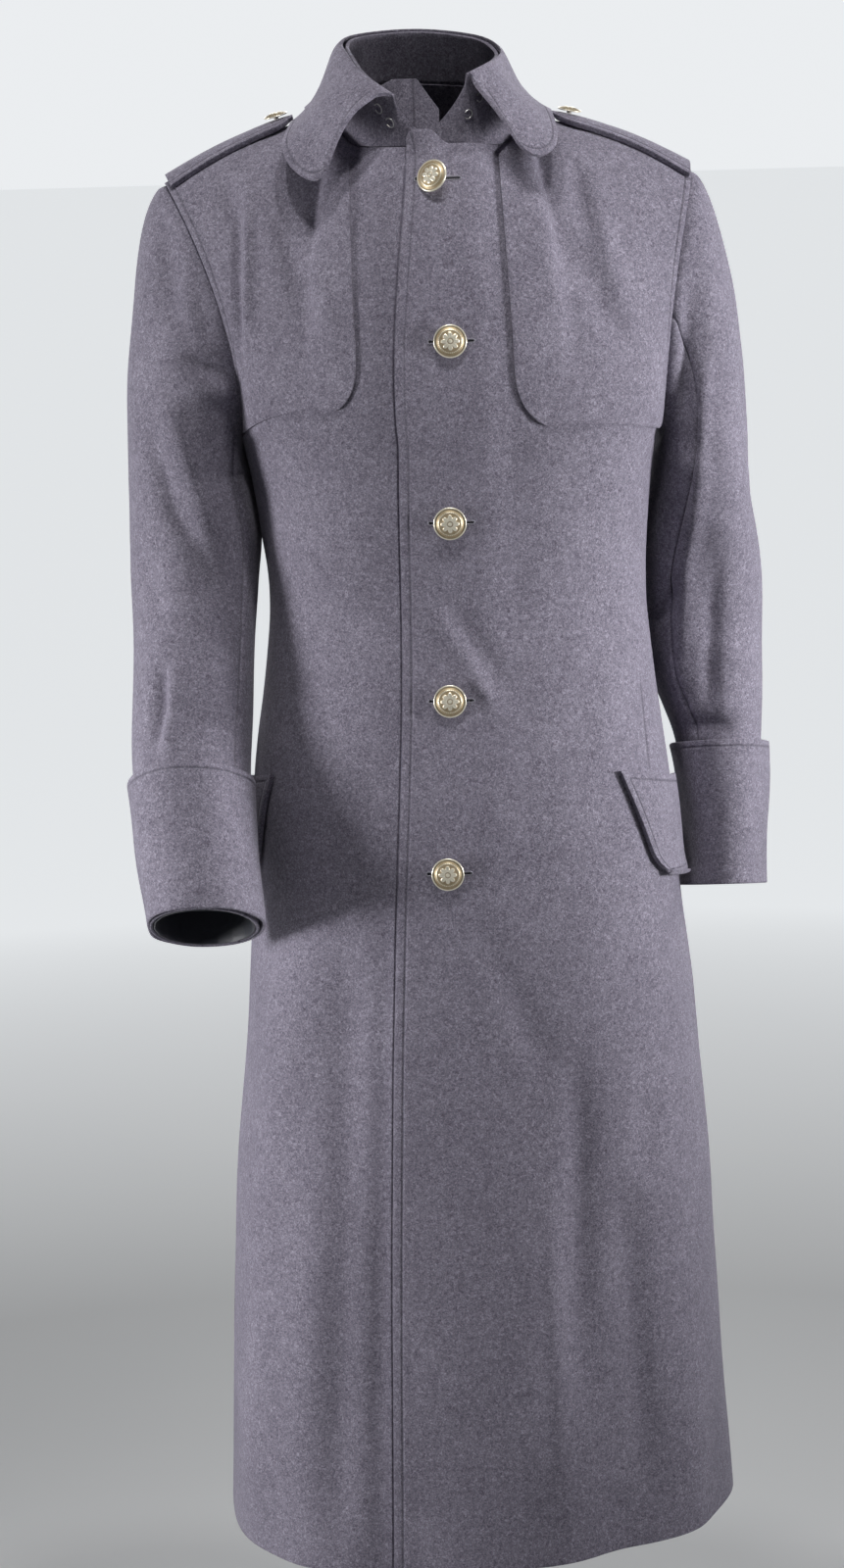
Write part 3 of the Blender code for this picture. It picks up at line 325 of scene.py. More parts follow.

# %% [markdown]
# ## Lining, gilt, steel and buttonhole silk
# The lining is a dark smooth twill. The buttons are pale gilt, polished on the high places and dull in
# the hollows, so their relief is carried to the material as an attribute as well. The hooks are drawn
# wire. Buttonholes are worked in twisted silk a shade lighter than the cloth.
# The slit of each buttonhole is a thin near-black sheet: painted shade in the opening.

# %% The other finishes
def make_two_tone(name, middle, roughness, dark, pale, grain, bump=None, **constants):
    """A finish whose colour wanders between two tones, with bumps of the same grain."""
    finish = Finish(name, middle, roughness, **constants)
    wander = finish.noise(*grain)
    finish.show("Base Color", finish.mix(wander, dark, pale))
    if bump:
        finish.bump(wander, *bump)
    return finish.material


def make_gilt():
    gilt = Finish("pale_gilt", (0.72, 0.64, 0.48, 1.0), 0.24, Metallic=0.65)
    height, _, known = gilt.attribute("relief")
    hollow = (1.0 - gilt.spread(height, 0.15, 0.75)) * known
    dull = hollow * 0.82 + gilt.spread(gilt.noise(520.0, 3.0, 0.6), 0.35, 0.75) * 0.15
    gilt.show("Base Color", gilt.mix(dull, (0.98, 0.93, 0.77, 1.0), (0.3, 0.22, 0.11, 1.0)))
    gilt.show("Roughness", dull * 0.26 + 0.28)
    gilt.bump(gilt.noise(1500.0, 2.0), 0.00006, 0.6)
    return gilt.material


def make_steel():
    steel = Finish("drawn_wire", (0.56, 0.56, 0.55, 1.0), 0.3, Metallic=1.0)
    steel.show("Roughness", steel.noise(900.0, 2.0, 0.5, 0.0, (1.0, 1.0, 0.3)) * 0.25 + 0.2)
    return steel.material


LINING = make_two_tone("lining_twill", (0.02, 0.022, 0.03, 1.0), 0.5, (0.012, 0.014, 0.02, 1.0),
                       (0.034, 0.037, 0.05, 1.0), (700.0, 1.0, 0.5, 0.0, (1.0, 1.0, 3.0)),
                       bump=(0.0003, 0.5), Sheen_Weight=0.1)
SILK = make_two_tone("buttonhole_silk", (0.17, 0.165, 0.2, 1.0), 0.6, (0.12, 0.115, 0.145, 1.0),
                     (0.27, 0.26, 0.31, 1.0), (1400.0, 1.0), bump=(0.0002, 0.7), Sheen_Weight=0.2)
# Near-black for the buttonhole's opening: painted shade.
SLIT_PAINTED_SHADE = make_two_tone("buttonhole_slit_painted_shade", (0.01, 0.01, 0.014, 1.0), 0.9, (0.006, 0.006, 0.009, 1.0),
                     (0.02, 0.019, 0.026, 1.0), (800.0, 1.0))
GILT = make_gilt()
STEEL = make_steel()
print("other finishes:", [finish.name for finish in (LINING, SILK, SLIT_PAINTED_SHADE, GILT, STEEL)])

# %% [markdown]
# ## The shape of the body
# The coat hangs in the hollow form that a wearer gives it. A table gives the width, the depths and the
# front edges at heights from the hem to the underarm, and smooth curves join its rows. Another table
# adds the soft folds of the skirt. The same numbers shape the plain solids, so cloth and solid agree.

# %% Tables of the body
CLOTH = 0.0026
LAY_GAP = 0.0005
LAP_LIFT = CLOTH + 1.4 * LAY_GAP
UNDERARM_Z = -0.262
HEM_Z = -1.164
SHOULDER_Z = -0.062
SHOULDER_BOW = 0.0085
LOWER_ROWS = 13
UPPER_ROWS = 10
LAP_COLUMNS = 3
CHEST_COLUMNS = 3
NECK_COLUMNS = 2
SHOULDER_COLUMNS = 6
BACK_NECK_COLUMNS = 4
SQUARENESS = 2.3
HEM_RISE_FRONT = 0.01
HEM_RISE_LEFT = 0.008
TOP_ROW = LOWER_ROWS + UPPER_ROWS
LEVEL_COLUMNS = "z half_width front back centre turn front_edge under_edge line_left line_right"
LEVELS = (
    (-1.164, 0.2095, 0.188, 0.18, 0.018, 7.0, -0.0555, 0.02, 0.092, -0.095),
    (-1.04, 0.2045, 0.18, 0.172, 0.0175, 7.0, -0.0525, 0.022, 0.088, -0.09),
    (-0.88, 0.1975, 0.169, 0.16, 0.0185, 7.0, -0.048, 0.026, 0.083, -0.083),
    (-0.795, 0.1895, 0.162, 0.153, 0.0195, 7.0, -0.0445, 0.028, 0.08, -0.078),
    (-0.707, 0.182, 0.156, 0.146, 0.0205, 6.5, -0.041, 0.03, 0.077, -0.072),
    (-0.632, 0.174, 0.151, 0.138, 0.019, 6.0, -0.0375, 0.031, 0.074, -0.066),
    (-0.535, 0.169, 0.142, 0.127, 0.0168, 5.0, -0.032, 0.032, 0.07, -0.059),
    (-0.455, 0.1576, 0.129, 0.106, 0.0165, 4.0, -0.028, 0.033, 0.067, -0.055),
    (-0.385, 0.1513, 0.121, 0.096, 0.016, 3.0, -0.0266, 0.034, 0.065, -0.052),
    (-0.335, 0.1545, 0.123, 0.099, 0.0163, 2.0, -0.0265, 0.034, 0.0645, -0.051),
    (-0.29, 0.16, 0.127, 0.106, 0.016, 1.0, -0.026, 0.034, 0.064, -0.0508),
    (-0.262, 0.165, 0.13, 0.111, 0.015, 0.0, -0.0255, 0.034, 0.0636, -0.0507),
)
# A fold's angle round the body, its width and depth, and the heights where it starts and is full.
FOLDS = (
    (-37.0, 13.0, 0.008, -0.66, -1.0),
    (-15.0, 10.0, -0.004, -0.7, -1.1),
    (14.0, 9.0, 0.004, -0.8, -1.1),
    (29.0, 8.0, -0.0045, -0.7, -1.0),
    (52.0, 9.0, 0.005, -0.7, -1.1),
    (84.0, 12.0, 0.004, -0.9, -1.16),
    (112.0, 14.0, -0.007, -0.62, -1.1),
    (140.0, 13.0, 0.009, -0.6, -1.1),
    (166.0, 10.0, -0.006, -0.62, -1.16),
    (-163.0, 11.0, 0.006, -0.66, -1.16),
    (-134.0, 14.0, -0.008, -0.6, -1.1),
    (-104.0, 12.0, 0.007, -0.64, -1.16),
)
print("levels:", len(LEVELS), "skirt folds:", len(FOLDS))

# %% Reading the tables
def smooth(value):
    """Goes from 0 to 1 with level ends, and stays there outside."""
    value = np.clip(value, 0.0, 1.0)
    return value * value * (3.0 - 2.0 * value)


def unit(vectors):
    """Vectors of length 1, along the last axis."""
    return vectors / np.maximum(np.linalg.norm(vectors, axis=-1, keepdims=True), 1e-12)


def hermite(before, after, leaving, arriving, part):
    """A smooth curve from one value to the next that leaves and arrives with the given slopes."""
    rise = 3.0 * part**2 - 2.0 * part**3
    ends = before * (1.0 - rise) + after * rise
    return ends + leaving * (part**3 - 2.0 * part**2 + part) + arriving * (part**3 - part**2)


class Table:
    """Named columns of numbers with smooth curves through the rows. The first column is the place."""

    def __init__(self, names, rows):
        self.names = names.split()
        self.grid = np.array(sorted(rows), dtype=float)
        self.places = self.grid[:, 0]
        self.slopes = np.gradient(self.grid, self.places, axis=0)

    def __call__(self, where):
        where = min(max(where, self.places[0]), self.places[-1])
        index = min(int(np.searchsorted(self.places, where, side="right")) - 1, len(self.places) - 2)
        span = self.places[index + 1] - self.places[index]
        leaving, arriving = self.slopes[index:index + 2] * span
        row = hermite(*self.grid[index:index + 2], leaving, arriving, (where - self.places[index]) / span)
        return dict(zip(self.names, row))


def bezier(points, part):
    """A point on the curve that two or three handles pull between its ends."""
    points = [np.array(point, dtype=float) for point in points]
    while len(points) > 1:
        points = [a + (b - a) * part for a, b in zip(points, points[1:])]
    return points[0]


def power(value, exponent):
    return math.copysign(abs(value) ** exponent, value)


def fold_depth(angle, z):
    total = 0.0
    for middle, width, depth, start, full in FOLDS:
        off = (angle - middle + 180.0) % 360.0 - 180.0
        total += depth * smooth((z - start) / (full - start)) * math.exp(-((off / width) ** 2))
    return total


def body_point(angle, z):
    """A point of the body below the underarm. Angle 0 is the front and 90 the wearer's left."""
    row = level(z)
    turn = math.radians(angle)
    depth = row["front"] if math.cos(turn) > 0 else row["back"]
    x = row["half_width"] * power(math.sin(turn), 2.0 / SQUARENESS)
    y = -depth * power(math.cos(turn), 2.0 / SQUARENESS)
    out = unit(np.array((x / row["half_width"] ** 2, y / depth**2)))
    push = fold_depth(angle, z)
    below = (UNDERARM_Z - z) / (UNDERARM_Z - HEM_Z)
    lift = below**3 * (HEM_RISE_FRONT * math.cos(turn) + HEM_RISE_LEFT * math.sin(turn))
    return np.array((row["centre"] + x + out[0] * push, y + out[1] * push, z + lift))


def angle_at(row, x):
    """The angle where the front of a level stands at a given x."""
    share = min(max((x - row["centre"]) / row["half_width"], -1.0), 1.0)
    return math.degrees(math.asin(power(share, SQUARENESS / 2.0)))


level = Table(LEVEL_COLUMNS, LEVELS)
print("front of the waist:", np.round(body_point(0.0, -0.385), 4))

# %% [markdown]
# ## Neckline, shoulders and armholes
# Above the underarm each column of a panel rises to its own place: on the neckline oval, or on the
# shoulder seam. The outermost column follows the armhole, a closed curve through four places.

# %% Where the panels end
NECK_CENTRE_X = 0.004
NECK_HALF = 0.075
NECK_FRONT = 0.078
NECK_BACK = 0.07
NECK_FRONT_Z = -0.036
NECK_SIDE_Z = -0.0165
NECK_TILT = 0.0025
NECK_BACK_Z = 0.012
NECK_LEVEL_ANGLE = 45.0
NECK_RISE_SPAN = 70.0
FRONT_EDGE_ANGLE = -13.6
UNDER_EDGE_ANGLE = 20.3
LINE_ANGLE = {"left": 43.5, "right": 55.5}
NECK_SLOPE = (0.62, 0.78)
SHOULDER_SLOPE = (1.0, 0.12)
RISE_PULL = 0.4
NECK_PULL = 0.055
SHOULDER_PULL = 0.075
RISE_STEP = 0.02
ARMHOLE_BLEND = 1.5
ARMHOLES = {
    "left": {"top": 0.2085, "front": 0.19, "foot": 0.18, "rear": 0.178,
             "top_y": 0.01, "reach_front": 0.048, "reach_back": 0.066},
    "right": {"top": 0.2045, "front": 0.16, "foot": 0.15, "rear": 0.172,
              "top_y": -0.004, "reach_front": 0.058, "reach_back": 0.062},
}


def neck_point(angle):
    """A point of the neckline seam."""
    turn = math.radians(angle)
    depth = NECK_FRONT if math.cos(turn) > 0 else NECK_BACK
    away = abs((angle + 180.0) % 360.0 - 180.0)
    to_side = smooth((away - NECK_LEVEL_ANGLE) / (90.0 - NECK_LEVEL_ANGLE))
    z = NECK_FRONT_Z + (NECK_SIDE_Z - NECK_FRONT_Z) * to_side
    z += (NECK_BACK_Z - NECK_SIDE_Z) * smooth((away - 90.0) / NECK_RISE_SPAN)
    z -= NECK_TILT * math.sin(turn) * (1.0 - math.cos(turn))
    return np.array((NECK_CENTRE_X + NECK_HALF * math.sin(turn), -depth * math.cos(turn), z))


def armhole_point(side, angle):
    """A point of the armhole seam. Angle 0 is the top, 90 the front, 180 the foot and 270 the back."""
    hole = ARMHOLES[side]
    sign = SIDE_SIGN[side]
    sine, cosine = math.sin(math.radians(angle)), math.cos(math.radians(angle))
    even = (hole["top"] + hole["foot"]) / 2.0
    odd = (hole["front"] + hole["rear"]) / 2.0
    x = (even + odd) / 2.0 + (even - odd) / 2.0 * math.cos(2.0 * math.radians(angle))
    x += (hole["top"] - hole["foot"]) / 2.0 * cosine + (hole["front"] - hole["rear"]) / 2.0 * sine
    reach = hole["reach_front"] if sine > 0 else hole["reach_back"]
    y = hole["top_y"] * (1.0 + cosine) / 2.0 - reach * sine
    z = (SHOULDER_Z + UNDERARM_Z) / 2.0 + (SHOULDER_Z - UNDERARM_Z) / 2.0 * cosine
    foot = body_point(sign * 90.0, UNDERARM_Z)
    down = (1.0 - cosine) / 2.0
    return np.array((sign * x + (foot[0] - sign * hole["foot"]) * down, y + foot[1] * down, z))


def shoulder_point(side, part):
    """A point of the shoulder seam, from the neck at 0 to the armhole at 1."""
    start = neck_point(90.0 * SIDE_SIGN[side])
    end = armhole_point(side, 0.0)
    bow = SHOULDER_BOW * math.sin(math.pi * part)
    return start + (end - start) * part + np.array((0.0, 0.0, bow))


print("outer end of the left shoulder seam:", np.round(shoulder_point("left", 1.0), 4))

# %% The panels' own grids
YOKE_START = LAP_COLUMNS + CHEST_COLUMNS
YOKE_FOOT = {"left": LOWER_ROWS + 0.5, "right": LOWER_ROWS + 1.0}
NECK_END = {"front": YOKE_START + NECK_COLUMNS, "back": BACK_NECK_COLUMNS}
COLUMNS = {face: end + SHOULDER_COLUMNS for face, end in NECK_END.items()}
FREE_COLUMNS = {"front": YOKE_START, "back": 1.0}


def across_front(side, column, edges, line, seam, last):
    """The angle of a column of a front: front edge, lap, chest, then out to a seam."""
    if side == "right":
        edges = edges[::-1]
    return np.interp(column, (0.0, LAP_COLUMNS, YOKE_START, last), (*edges, line, seam))


def column_angle(face, side, column, z):
    """The angle of a column at a level below the underarm."""
    row = level(z)
    middle = SIDE_SIGN[side] * 180.0 - row["turn"]
    seam = SIDE_SIGN[side] * 90.0 - row["turn"]
    if face == "back":
        return middle + (seam - middle) * column / COLUMNS[face]
    edges = (angle_at(row, row["front_edge"]), angle_at(row, row["under_edge"]))
    return across_front(side, column, edges, angle_at(row, row["line_" + side]), seam, COLUMNS[face])


def neck_angle(face, side, column):
    """The angle at which a column meets the neckline."""
    sign = SIDE_SIGN[side]
    if face == "back":
        return sign * (180.0 - 90.0 * min(1.0, column / BACK_NECK_COLUMNS))
    edges = (FRONT_EDGE_ANGLE, UNDER_EDGE_ANGLE)
    return across_front(side, column, edges, LINE_ANGLE[side] * sign, sign * 90.0, NECK_END[face])


def top_point(face, side, column):
    """Where a column ends: on the neckline, or on the shoulder seam."""
    if column <= NECK_END[face]:
        return neck_point(neck_angle(face, side, column))
    return shoulder_point(side, (column - NECK_END[face]) / SHOULDER_COLUMNS)


def panel_point(face, side, column, row):
    """A point of a front or back panel. Row 0 is the hem, LOWER_ROWS the underarm, and the last the top."""
    if row <= LOWER_ROWS:
        z = HEM_Z + (UNDERARM_Z - HEM_Z) * row / LOWER_ROWS
        return body_point(column_angle(face, side, column, z), z)
    part = (row - LOWER_ROWS) / UPPER_ROWS

    def unfitted(at):
        angle = column_angle(face, side, at, UNDERARM_Z)
        start = body_point(angle, UNDERARM_Z)
        rise = unit(start - body_point(angle, UNDERARM_Z - RISE_STEP))
        top = top_point(face, side, at)
        from_front = abs(neck_angle(face, side, at))
        over = smooth((from_front if face == "front" else 180.0 - from_front) / 90.0)
        steep, flat = (unit(np.array((0.0, ahead * FACE_SIGN[face], up)))
                       for ahead, up in (NECK_SLOPE, SHOULDER_SLOPE))
        direction = unit(steep * (1.0 - over) + flat * over)
        pull = NECK_PULL + (SHOULDER_PULL - NECK_PULL) * over
        leaving = start + rise * (RISE_PULL * (top[2] - start[2]))
        return bezier((start, leaving, top - direction * pull, top), part)

    point = unfitted(column)
    weight = smooth((column - FREE_COLUMNS[face]) / (COLUMNS[face] - FREE_COLUMNS[face])) ** ARMHOLE_BLEND
    if weight > 0.0:
        seam = armhole_point(side, 180.0 * FACE_SIGN[face] * (1.0 - part))
        point = point + (seam - unfitted(COLUMNS[face])) * weight
    return point


print("columns of the panels:", COLUMNS)

# %% [markdown]
# ## The shape of the sleeves
# A sleeve starts on the armhole, bulges a little over the cap and runs down in leaning rings to the
# wrist. The wearer's right arm comes forward and the left one hangs, so each has its own stations.

# %% Tables and rings of the arms
CAP_ROWS = 5
ARM_ROWS = 11
ARM_COLUMNS = "z x y half_x half_y lean"
ARMS = {
    "right": (
        (-0.292, 0.1965, 0.002, 0.048, 0.067, 2.0),
        (-0.335, 0.1925, -0.004, 0.0515, 0.066, 6.0),
        (-0.375, 0.1932, -0.012, 0.0512, 0.065, 13.0),
        (-0.42, 0.195, -0.03, 0.0495, 0.063, 21.0),
        (-0.47, 0.1965, -0.054, 0.048, 0.06, 27.0),
        (-0.521, 0.1985, -0.079, 0.0462, 0.057, 29.0),
        (-0.576, 0.1955, -0.109, 0.045, 0.056, 29.0),
        (-0.632, 0.189, -0.138, 0.043, 0.055, 29.0),
    ),
    "left": (
        (-0.292, 0.2162, 0.034, 0.0392, 0.07, 0.0),
        (-0.335, 0.2158, 0.046, 0.0455, 0.068, 2.0),
        (-0.375, 0.216, 0.056, 0.0505, 0.066, 4.0),
        (-0.42, 0.218, 0.062, 0.0507, 0.065, 7.0),
        (-0.47, 0.2222, 0.059, 0.0462, 0.0645, 10.0),
        (-0.529, 0.2308, 0.051, 0.0355, 0.064, 13.0),
        (-0.584, 0.2335, 0.04, 0.032, 0.0635, 13.0),
        (-0.647, 0.2328, 0.026, 0.0312, 0.063, 13.0),
    ),
}
ARM_SQUARING = 0.94
CAP_OUT = 0.008
CAP_CROWN_OUT = 0.014
CAP_FORWARD = 0.006
CAP_UP = -0.01
CAP_CROWN_UP = 0.012
CAP_PULL = 0.42
AROUND = 2 * UPPER_ROWS
arm = {side: Table(ARM_COLUMNS, rows) for side, rows in ARMS.items()}


def arm_ring_point(side, angle, z, ease=0.0):
    """A point of the sleeve below the armhole. Angle 0 is outermost, 90 the front, 180 next to the body."""
    row = arm[side](z)
    turn, lean = math.radians(angle), math.radians(row["lean"])
    out = (row["half_x"] + ease) * power(math.cos(turn), ARM_SQUARING)
    ahead = (row["half_y"] + ease) * power(math.sin(turn), ARM_SQUARING)
    x = SIDE_SIGN[side] * (row["x"] + out)
    return np.array((x, row["y"] - ahead * math.cos(lean), z + ahead * math.sin(lean)))


def sleeve_point(side, column, row):
    """A point of the sleeve: the cap from the armhole seam, then rings down to the wrist."""
    angle = 360.0 * column / AROUND
    head, wrist = ARMS[side][0][0], ARMS[side][-1][0]
    if row >= CAP_ROWS:
        return arm_ring_point(side, angle, head + (wrist - head) * (row - CAP_ROWS) / ARM_ROWS)
    turn = math.radians(angle)
    start = armhole_point(side, angle)
    end = arm_ring_point(side, angle, head)
    crown = (1.0 + math.cos(turn)) / 2.0
    outward = SIDE_SIGN[side] * (CAP_OUT + CAP_CROWN_OUT * crown)
    out = np.array((outward, -CAP_FORWARD * math.sin(turn), CAP_UP + CAP_CROWN_UP * crown))
    above = np.array((0.0, 0.0, CAP_PULL * (start[2] - end[2])))
    return bezier((start, start + out, end + above, end), row / CAP_ROWS)


print("arm stations a side:", len(ARMS["left"]))

# %% [markdown]
# ## From a coarse grid to fine cloth
# Each form is sampled on a coarse grid and then passed through smooth curves to points about 4 mm
# apart, which is far quicker than asking the formulas for every point. The cloth itself starts as
# Blender's own grid, whose points then move to those places. Solidify gives it its thickness and Bevel
# rounds the cut edge, as thick wool does.

# %% Finer grids
def sample(function, columns, rows):
    """The points of a form at each of these columns and rows."""
    return np.array([[function(column, row) for column in columns] for row in rows])


def through(values, places):
    """Values along the first axis, on smooth curves through the given ones."""
    start = np.clip(places.astype(int), 0, len(values) - 2)
    part = (places - start).reshape(-1, *([1] * (values.ndim - 1)))
    slopes = np.gradient(values, axis=0)
    return hermite(values[start], values[start + 1], slopes[start], slopes[start + 1], part)


def fine_grid(function, columns, rows, margin=0.0):
    """A form at fine columns and rows, from its points at every half one and a margin beside them."""
    half_columns = np.arange(-margin, columns[-1] + margin + 0.25, 0.5)
    coarse = sample(function, half_columns, np.arange(0.0, rows[-1] + 0.25, 0.5))
    down = through(coarse, rows * 2.0)
    return np.swapaxes(through(np.swapaxes(down, 0, 1), (columns + margin) * 2.0), 0, 1)


def normals_of(points, sign, wrapped=False):
    """Unit normals of a grid, out of the cloth's face. A wrapped grid repeats its first column."""
    across = np.gradient(points, axis=1)
    if wrapped:
        ring = np.concatenate([points[:, -2:-1], points, points[:, 1:2]], axis=1)
        across = ring[:, 2:] - ring[:, :-2]
    return unit(np.cross(across, np.gradient(points, axis=0)) * sign)


def raised(points, normals, height):
    return points + normals * height[..., None]


def lengths(points, axis):
    """How far each point of a grid lies along its line from the first one."""
    total = np.cumsum(np.linalg.norm(np.diff(points, axis=axis), axis=2), axis=axis)
    return np.insert(total, 0, 0.0, axis=axis)


print("smooth curves pass through:", through(np.array([[0.0], [1.0], [4.0]]), np.array([0.5, 1.5])).ravel())

# %% From a grid to a piece of cloth
EDGE_ROUND = 0.0007
EDGE_ANGLE = 52.0
SAME_POINT = 0.00002
PIECES = {}


def link(name, mesh, material):
    mesh.materials.append(material)
    PIECES[name] = place_object(name, mesh)
    return PIECES[name]


def set_vectors(mesh, name, values):
    layer = mesh.attributes.new(name, "FLOAT_VECTOR", "POINT")
    layer.data.foreach_set("vector", np.ascontiguousarray(values, dtype=np.float32).ravel())


def grid_mesh(name, points, sign=1.0, **vectors):
    """Blender's grid, moved point by point onto a grid of places."""
    rows, columns = points.shape[:2]
    sheet = bmesh.new()
    bmesh.ops.create_grid(sheet, x_segments=columns - 1, y_segments=rows - 1, size=1.0, calc_uvs=True)
    if sign < 0:
        bmesh.ops.reverse_faces(sheet, faces=sheet.faces)
    mesh = into_mesh(sheet, bpy.data.meshes.new(name))
    mesh.vertices.foreach_set("co", points.astype(np.float32).ravel())
    for label, values in vectors.items():
        set_vectors(mesh, label, values)
    mesh.shade_smooth()
    mesh.update()
    return mesh


def close_ring(mesh, outward=False):
    """Joins the first and last columns of a grid that goes all the way round."""
    ring = bmesh.new()
    ring.from_mesh(mesh)
    bmesh.ops.remove_doubles(ring, verts=ring.verts, dist=SAME_POINT)
    if outward:
        bmesh.ops.recalc_face_normals(ring, faces=ring.faces)
    into_mesh(ring, mesh)


def modify(piece, name, kind, **settings):
    modifier = piece.modifiers.new(name, kind)
    for key, value in settings.items():
        setattr(modifier, key, value)


def make_cloth(name, points, sign, material=MELTON, thickness=CLOTH, wrapped=False, rounding=EDGE_ROUND,
               **vectors):
    mesh = grid_mesh(name, points, sign, **vectors)
    if wrapped:
        close_ring(mesh)
    piece = link(name, mesh, material)
    modify(piece, "Thickness", "SOLIDIFY", thickness=thickness, offset=-1.0, use_quality_normals=True)
    modify(piece, "Soft edge", "BEVEL", width=rounding, segments=2, limit_method="ANGLE",
           angle_limit=math.radians(EDGE_ANGLE), use_clamp_overlap=True)


def sewn(away, along, share=1.0):
    """The attribute that tells the cloth where a row of stitches runs."""
    return np.stack([away, along, np.broadcast_to(share, away.shape)], axis=2)


print("edge rounding in millimetres:", EDGE_ROUND * 1000)

# %% [markdown]
# ## Creases
# Wool this heavy creases softly: long shallow troughs and ridges where it is pulled or pushed together.
# Each is a line across the front or the back with a width and a depth, fading out at both ends. They are
# placed where the coat shows them, and in the same manner on the sides that can't be seen.

# %% Creases
# From x and z to x and z, then the width and the depth.
FRONT_CREASES = (
    (-0.1445, -0.073, -0.1467, -0.191, 0.0036, -0.005),
    (-0.1372, -0.062, -0.1402, -0.183, 0.0056, 0.0038),
    (-0.1554, -0.055, -0.1478, -0.092, 0.006, -0.0025),
    (-0.1322, -0.062, -0.1038, -0.15, 0.01, 0.0022),
    (-0.113, -0.085, -0.09, -0.175, 0.009, -0.003),
    (-0.095, -0.085, -0.072, -0.18, 0.008, 0.0024),
    (0.1107, -0.055, 0.1289, -0.11, 0.009, -0.0036),
    (0.1238, -0.07, 0.1475, -0.16, 0.009, 0.0032),
    (0.1045, -0.105, 0.1523, -0.2, 0.011, -0.0028),
    (0.085, -0.075, 0.098, -0.17, 0.009, 0.0024),
    (-0.0034, -0.39, 0.045, -0.469, 0.005, 0.0028),
    (0.005, -0.372, 0.053, -0.452, 0.008, -0.0022),
    (-0.1094, -0.33, -0.055, -0.385, 0.013, 0.0016),
    (-0.118, -0.36, -0.05, -0.42, 0.014, -0.002),
    (0.1174, -0.33, 0.065, -0.38, 0.012, 0.0012),
    (0.13, -0.37, 0.07, -0.425, 0.014, -0.0018),
    (0.148, -0.41, 0.118, -0.52, 0.011, 0.002),
    (-0.1262, -0.673, -0.1575, -0.939, 0.017, 0.007),
    (-0.1542, -0.902, -0.17, -1.16, 0.017, 0.0062),
    (-0.079, -0.64, -0.0874, -0.904, 0.021, -0.0078),
    (-0.0877, -0.868, -0.1048, -1.157, 0.021, -0.007),
    (0.021, -0.62, 0.0806, -0.76, 0.014, -0.003),
    (0.0708, -0.84, 0.078, -1.1, 0.012, 0.005),
    (0.1, -0.74, 0.099, -1.02, 0.012, -0.0055),
    (0.1372, -0.85, 0.1509, -1.12, 0.013, -0.0048),
    (0.158, -0.785, 0.154, -0.85, 0.012, -0.0035),
    (-0.045, -0.5, -0.09, -0.64, 0.015, -0.0018),
    (0.03, -0.3, 0.075, -0.255, 0.011, -0.0012),
)
BACK_CREASES = (
    (-0.15, -0.215, -0.135, -0.365, 0.02, 0.0036),
    (-0.09, -0.12, -0.125, -0.23, 0.012, -0.003),
    (0.095, -0.11, 0.135, -0.225, 0.012, -0.0028),
    (-0.11, -0.33, -0.03, -0.4, 0.013, -0.003),
    (0.125, -0.35, 0.045, -0.395, 0.013, -0.0028),
    (-0.07, -0.395, 0.015, -0.44, 0.012, 0.0022),
    (-0.11, -0.62, -0.135, -1.05, 0.018, 0.004),
    (-0.05, -0.64, -0.062, -1.08, 0.017, -0.0045),
    (0.065, -0.6, 0.085, -1.06, 0.018, -0.0042),
    (0.125, -0.7, 0.145, -1.1, 0.016, 0.004),
    (0.02, -0.06, 0.03, -0.16, 0.012, 0.0015),
)
RIGHT_FRONT_CREASE = (-0.0463, -0.616, -0.067, -1.16, 0.013, -0.0042)
# Slow waves of the cloth: how fast they turn along x, y and z, and their depth.
RIPPLES = ((31.0, 12.0, 9.0, 0.0005), (17.0, 41.0, -14.0, 0.00045), (-52.0, 23.0, 21.0, 0.0003),
           (12.0, -18.0, 33.0, 0.00045), (64.0, 37.0, -46.0, 0.00018))
CREASE_FADE = 0.42
CREASE_OVERRUN = 0.12


def beside_line(points, x0, z0, x1, z1):
    """How far each point lies along a line seen from the front, as a share of it, and beside it."""
    line = np.array((x1 - x0, z1 - z0))
    length = np.linalg.norm(line)
    line = line / length
    x, z = points[..., 0] - x0, points[..., 2] - z0
    return (x * line[0] + z * line[1]) / length, x * line[1] - z * line[0]


def creases(points, rows):
    total = np.zeros(points.shape[:-1])
    for *line, width, depth in rows:
        along, across = beside_line(points, *line)
        window = smooth((along + CREASE_OVERRUN) / CREASE_FADE)
        window = window * smooth((1.0 + CREASE_OVERRUN - along) / CREASE_FADE)
        total += depth * window * np.exp(-((across / width) ** 2))
    return total


def ripple(points):
    return sum(depth * np.sin(points @ np.array(rates)) for *rates, depth in RIPPLES)


def relief_of(points, front, front_rows, back_rows):
    """Creases of the front where the share is 1, and those of the back where it is 0."""
    return creases(points, front_rows) * front + creases(points, back_rows) * (1.0 - front)


def body_relief(points):
    """How far the cloth of the body stands off its plain form."""
    front = smooth((0.01 - points[..., 1]) / 0.05)
    return ripple(points) + relief_of(points, front, FRONT_CREASES, BACK_CREASES)


print("creases in front and behind:", len(FRONT_CREASES), len(BACK_CREASES))

# %% [markdown]
# ## Fronts and backs
# The two fronts and two backs are the largest pieces. The left front laps over the right one, so its
# first columns are lifted by one thickness of cloth. A row of stitches runs 7 mm inside its edge, a short
# dart line is drawn into the cloth on the left side above the pocket, darkened as painted shade, and on
# the right front beside the lap a dark line is painted: the painted shadow of the left front's edge.

# %% Panel forms
LOWER_STEPS = 17
UPPER_STEPS = 7
COLUMN_STEPS = 6
# The creases die away over these many columns and rows beside the seams.
CALM_COLUMNS = 0.9
CALM_ROWS = 1.5
CALM_TOP_ROWS = 2.0


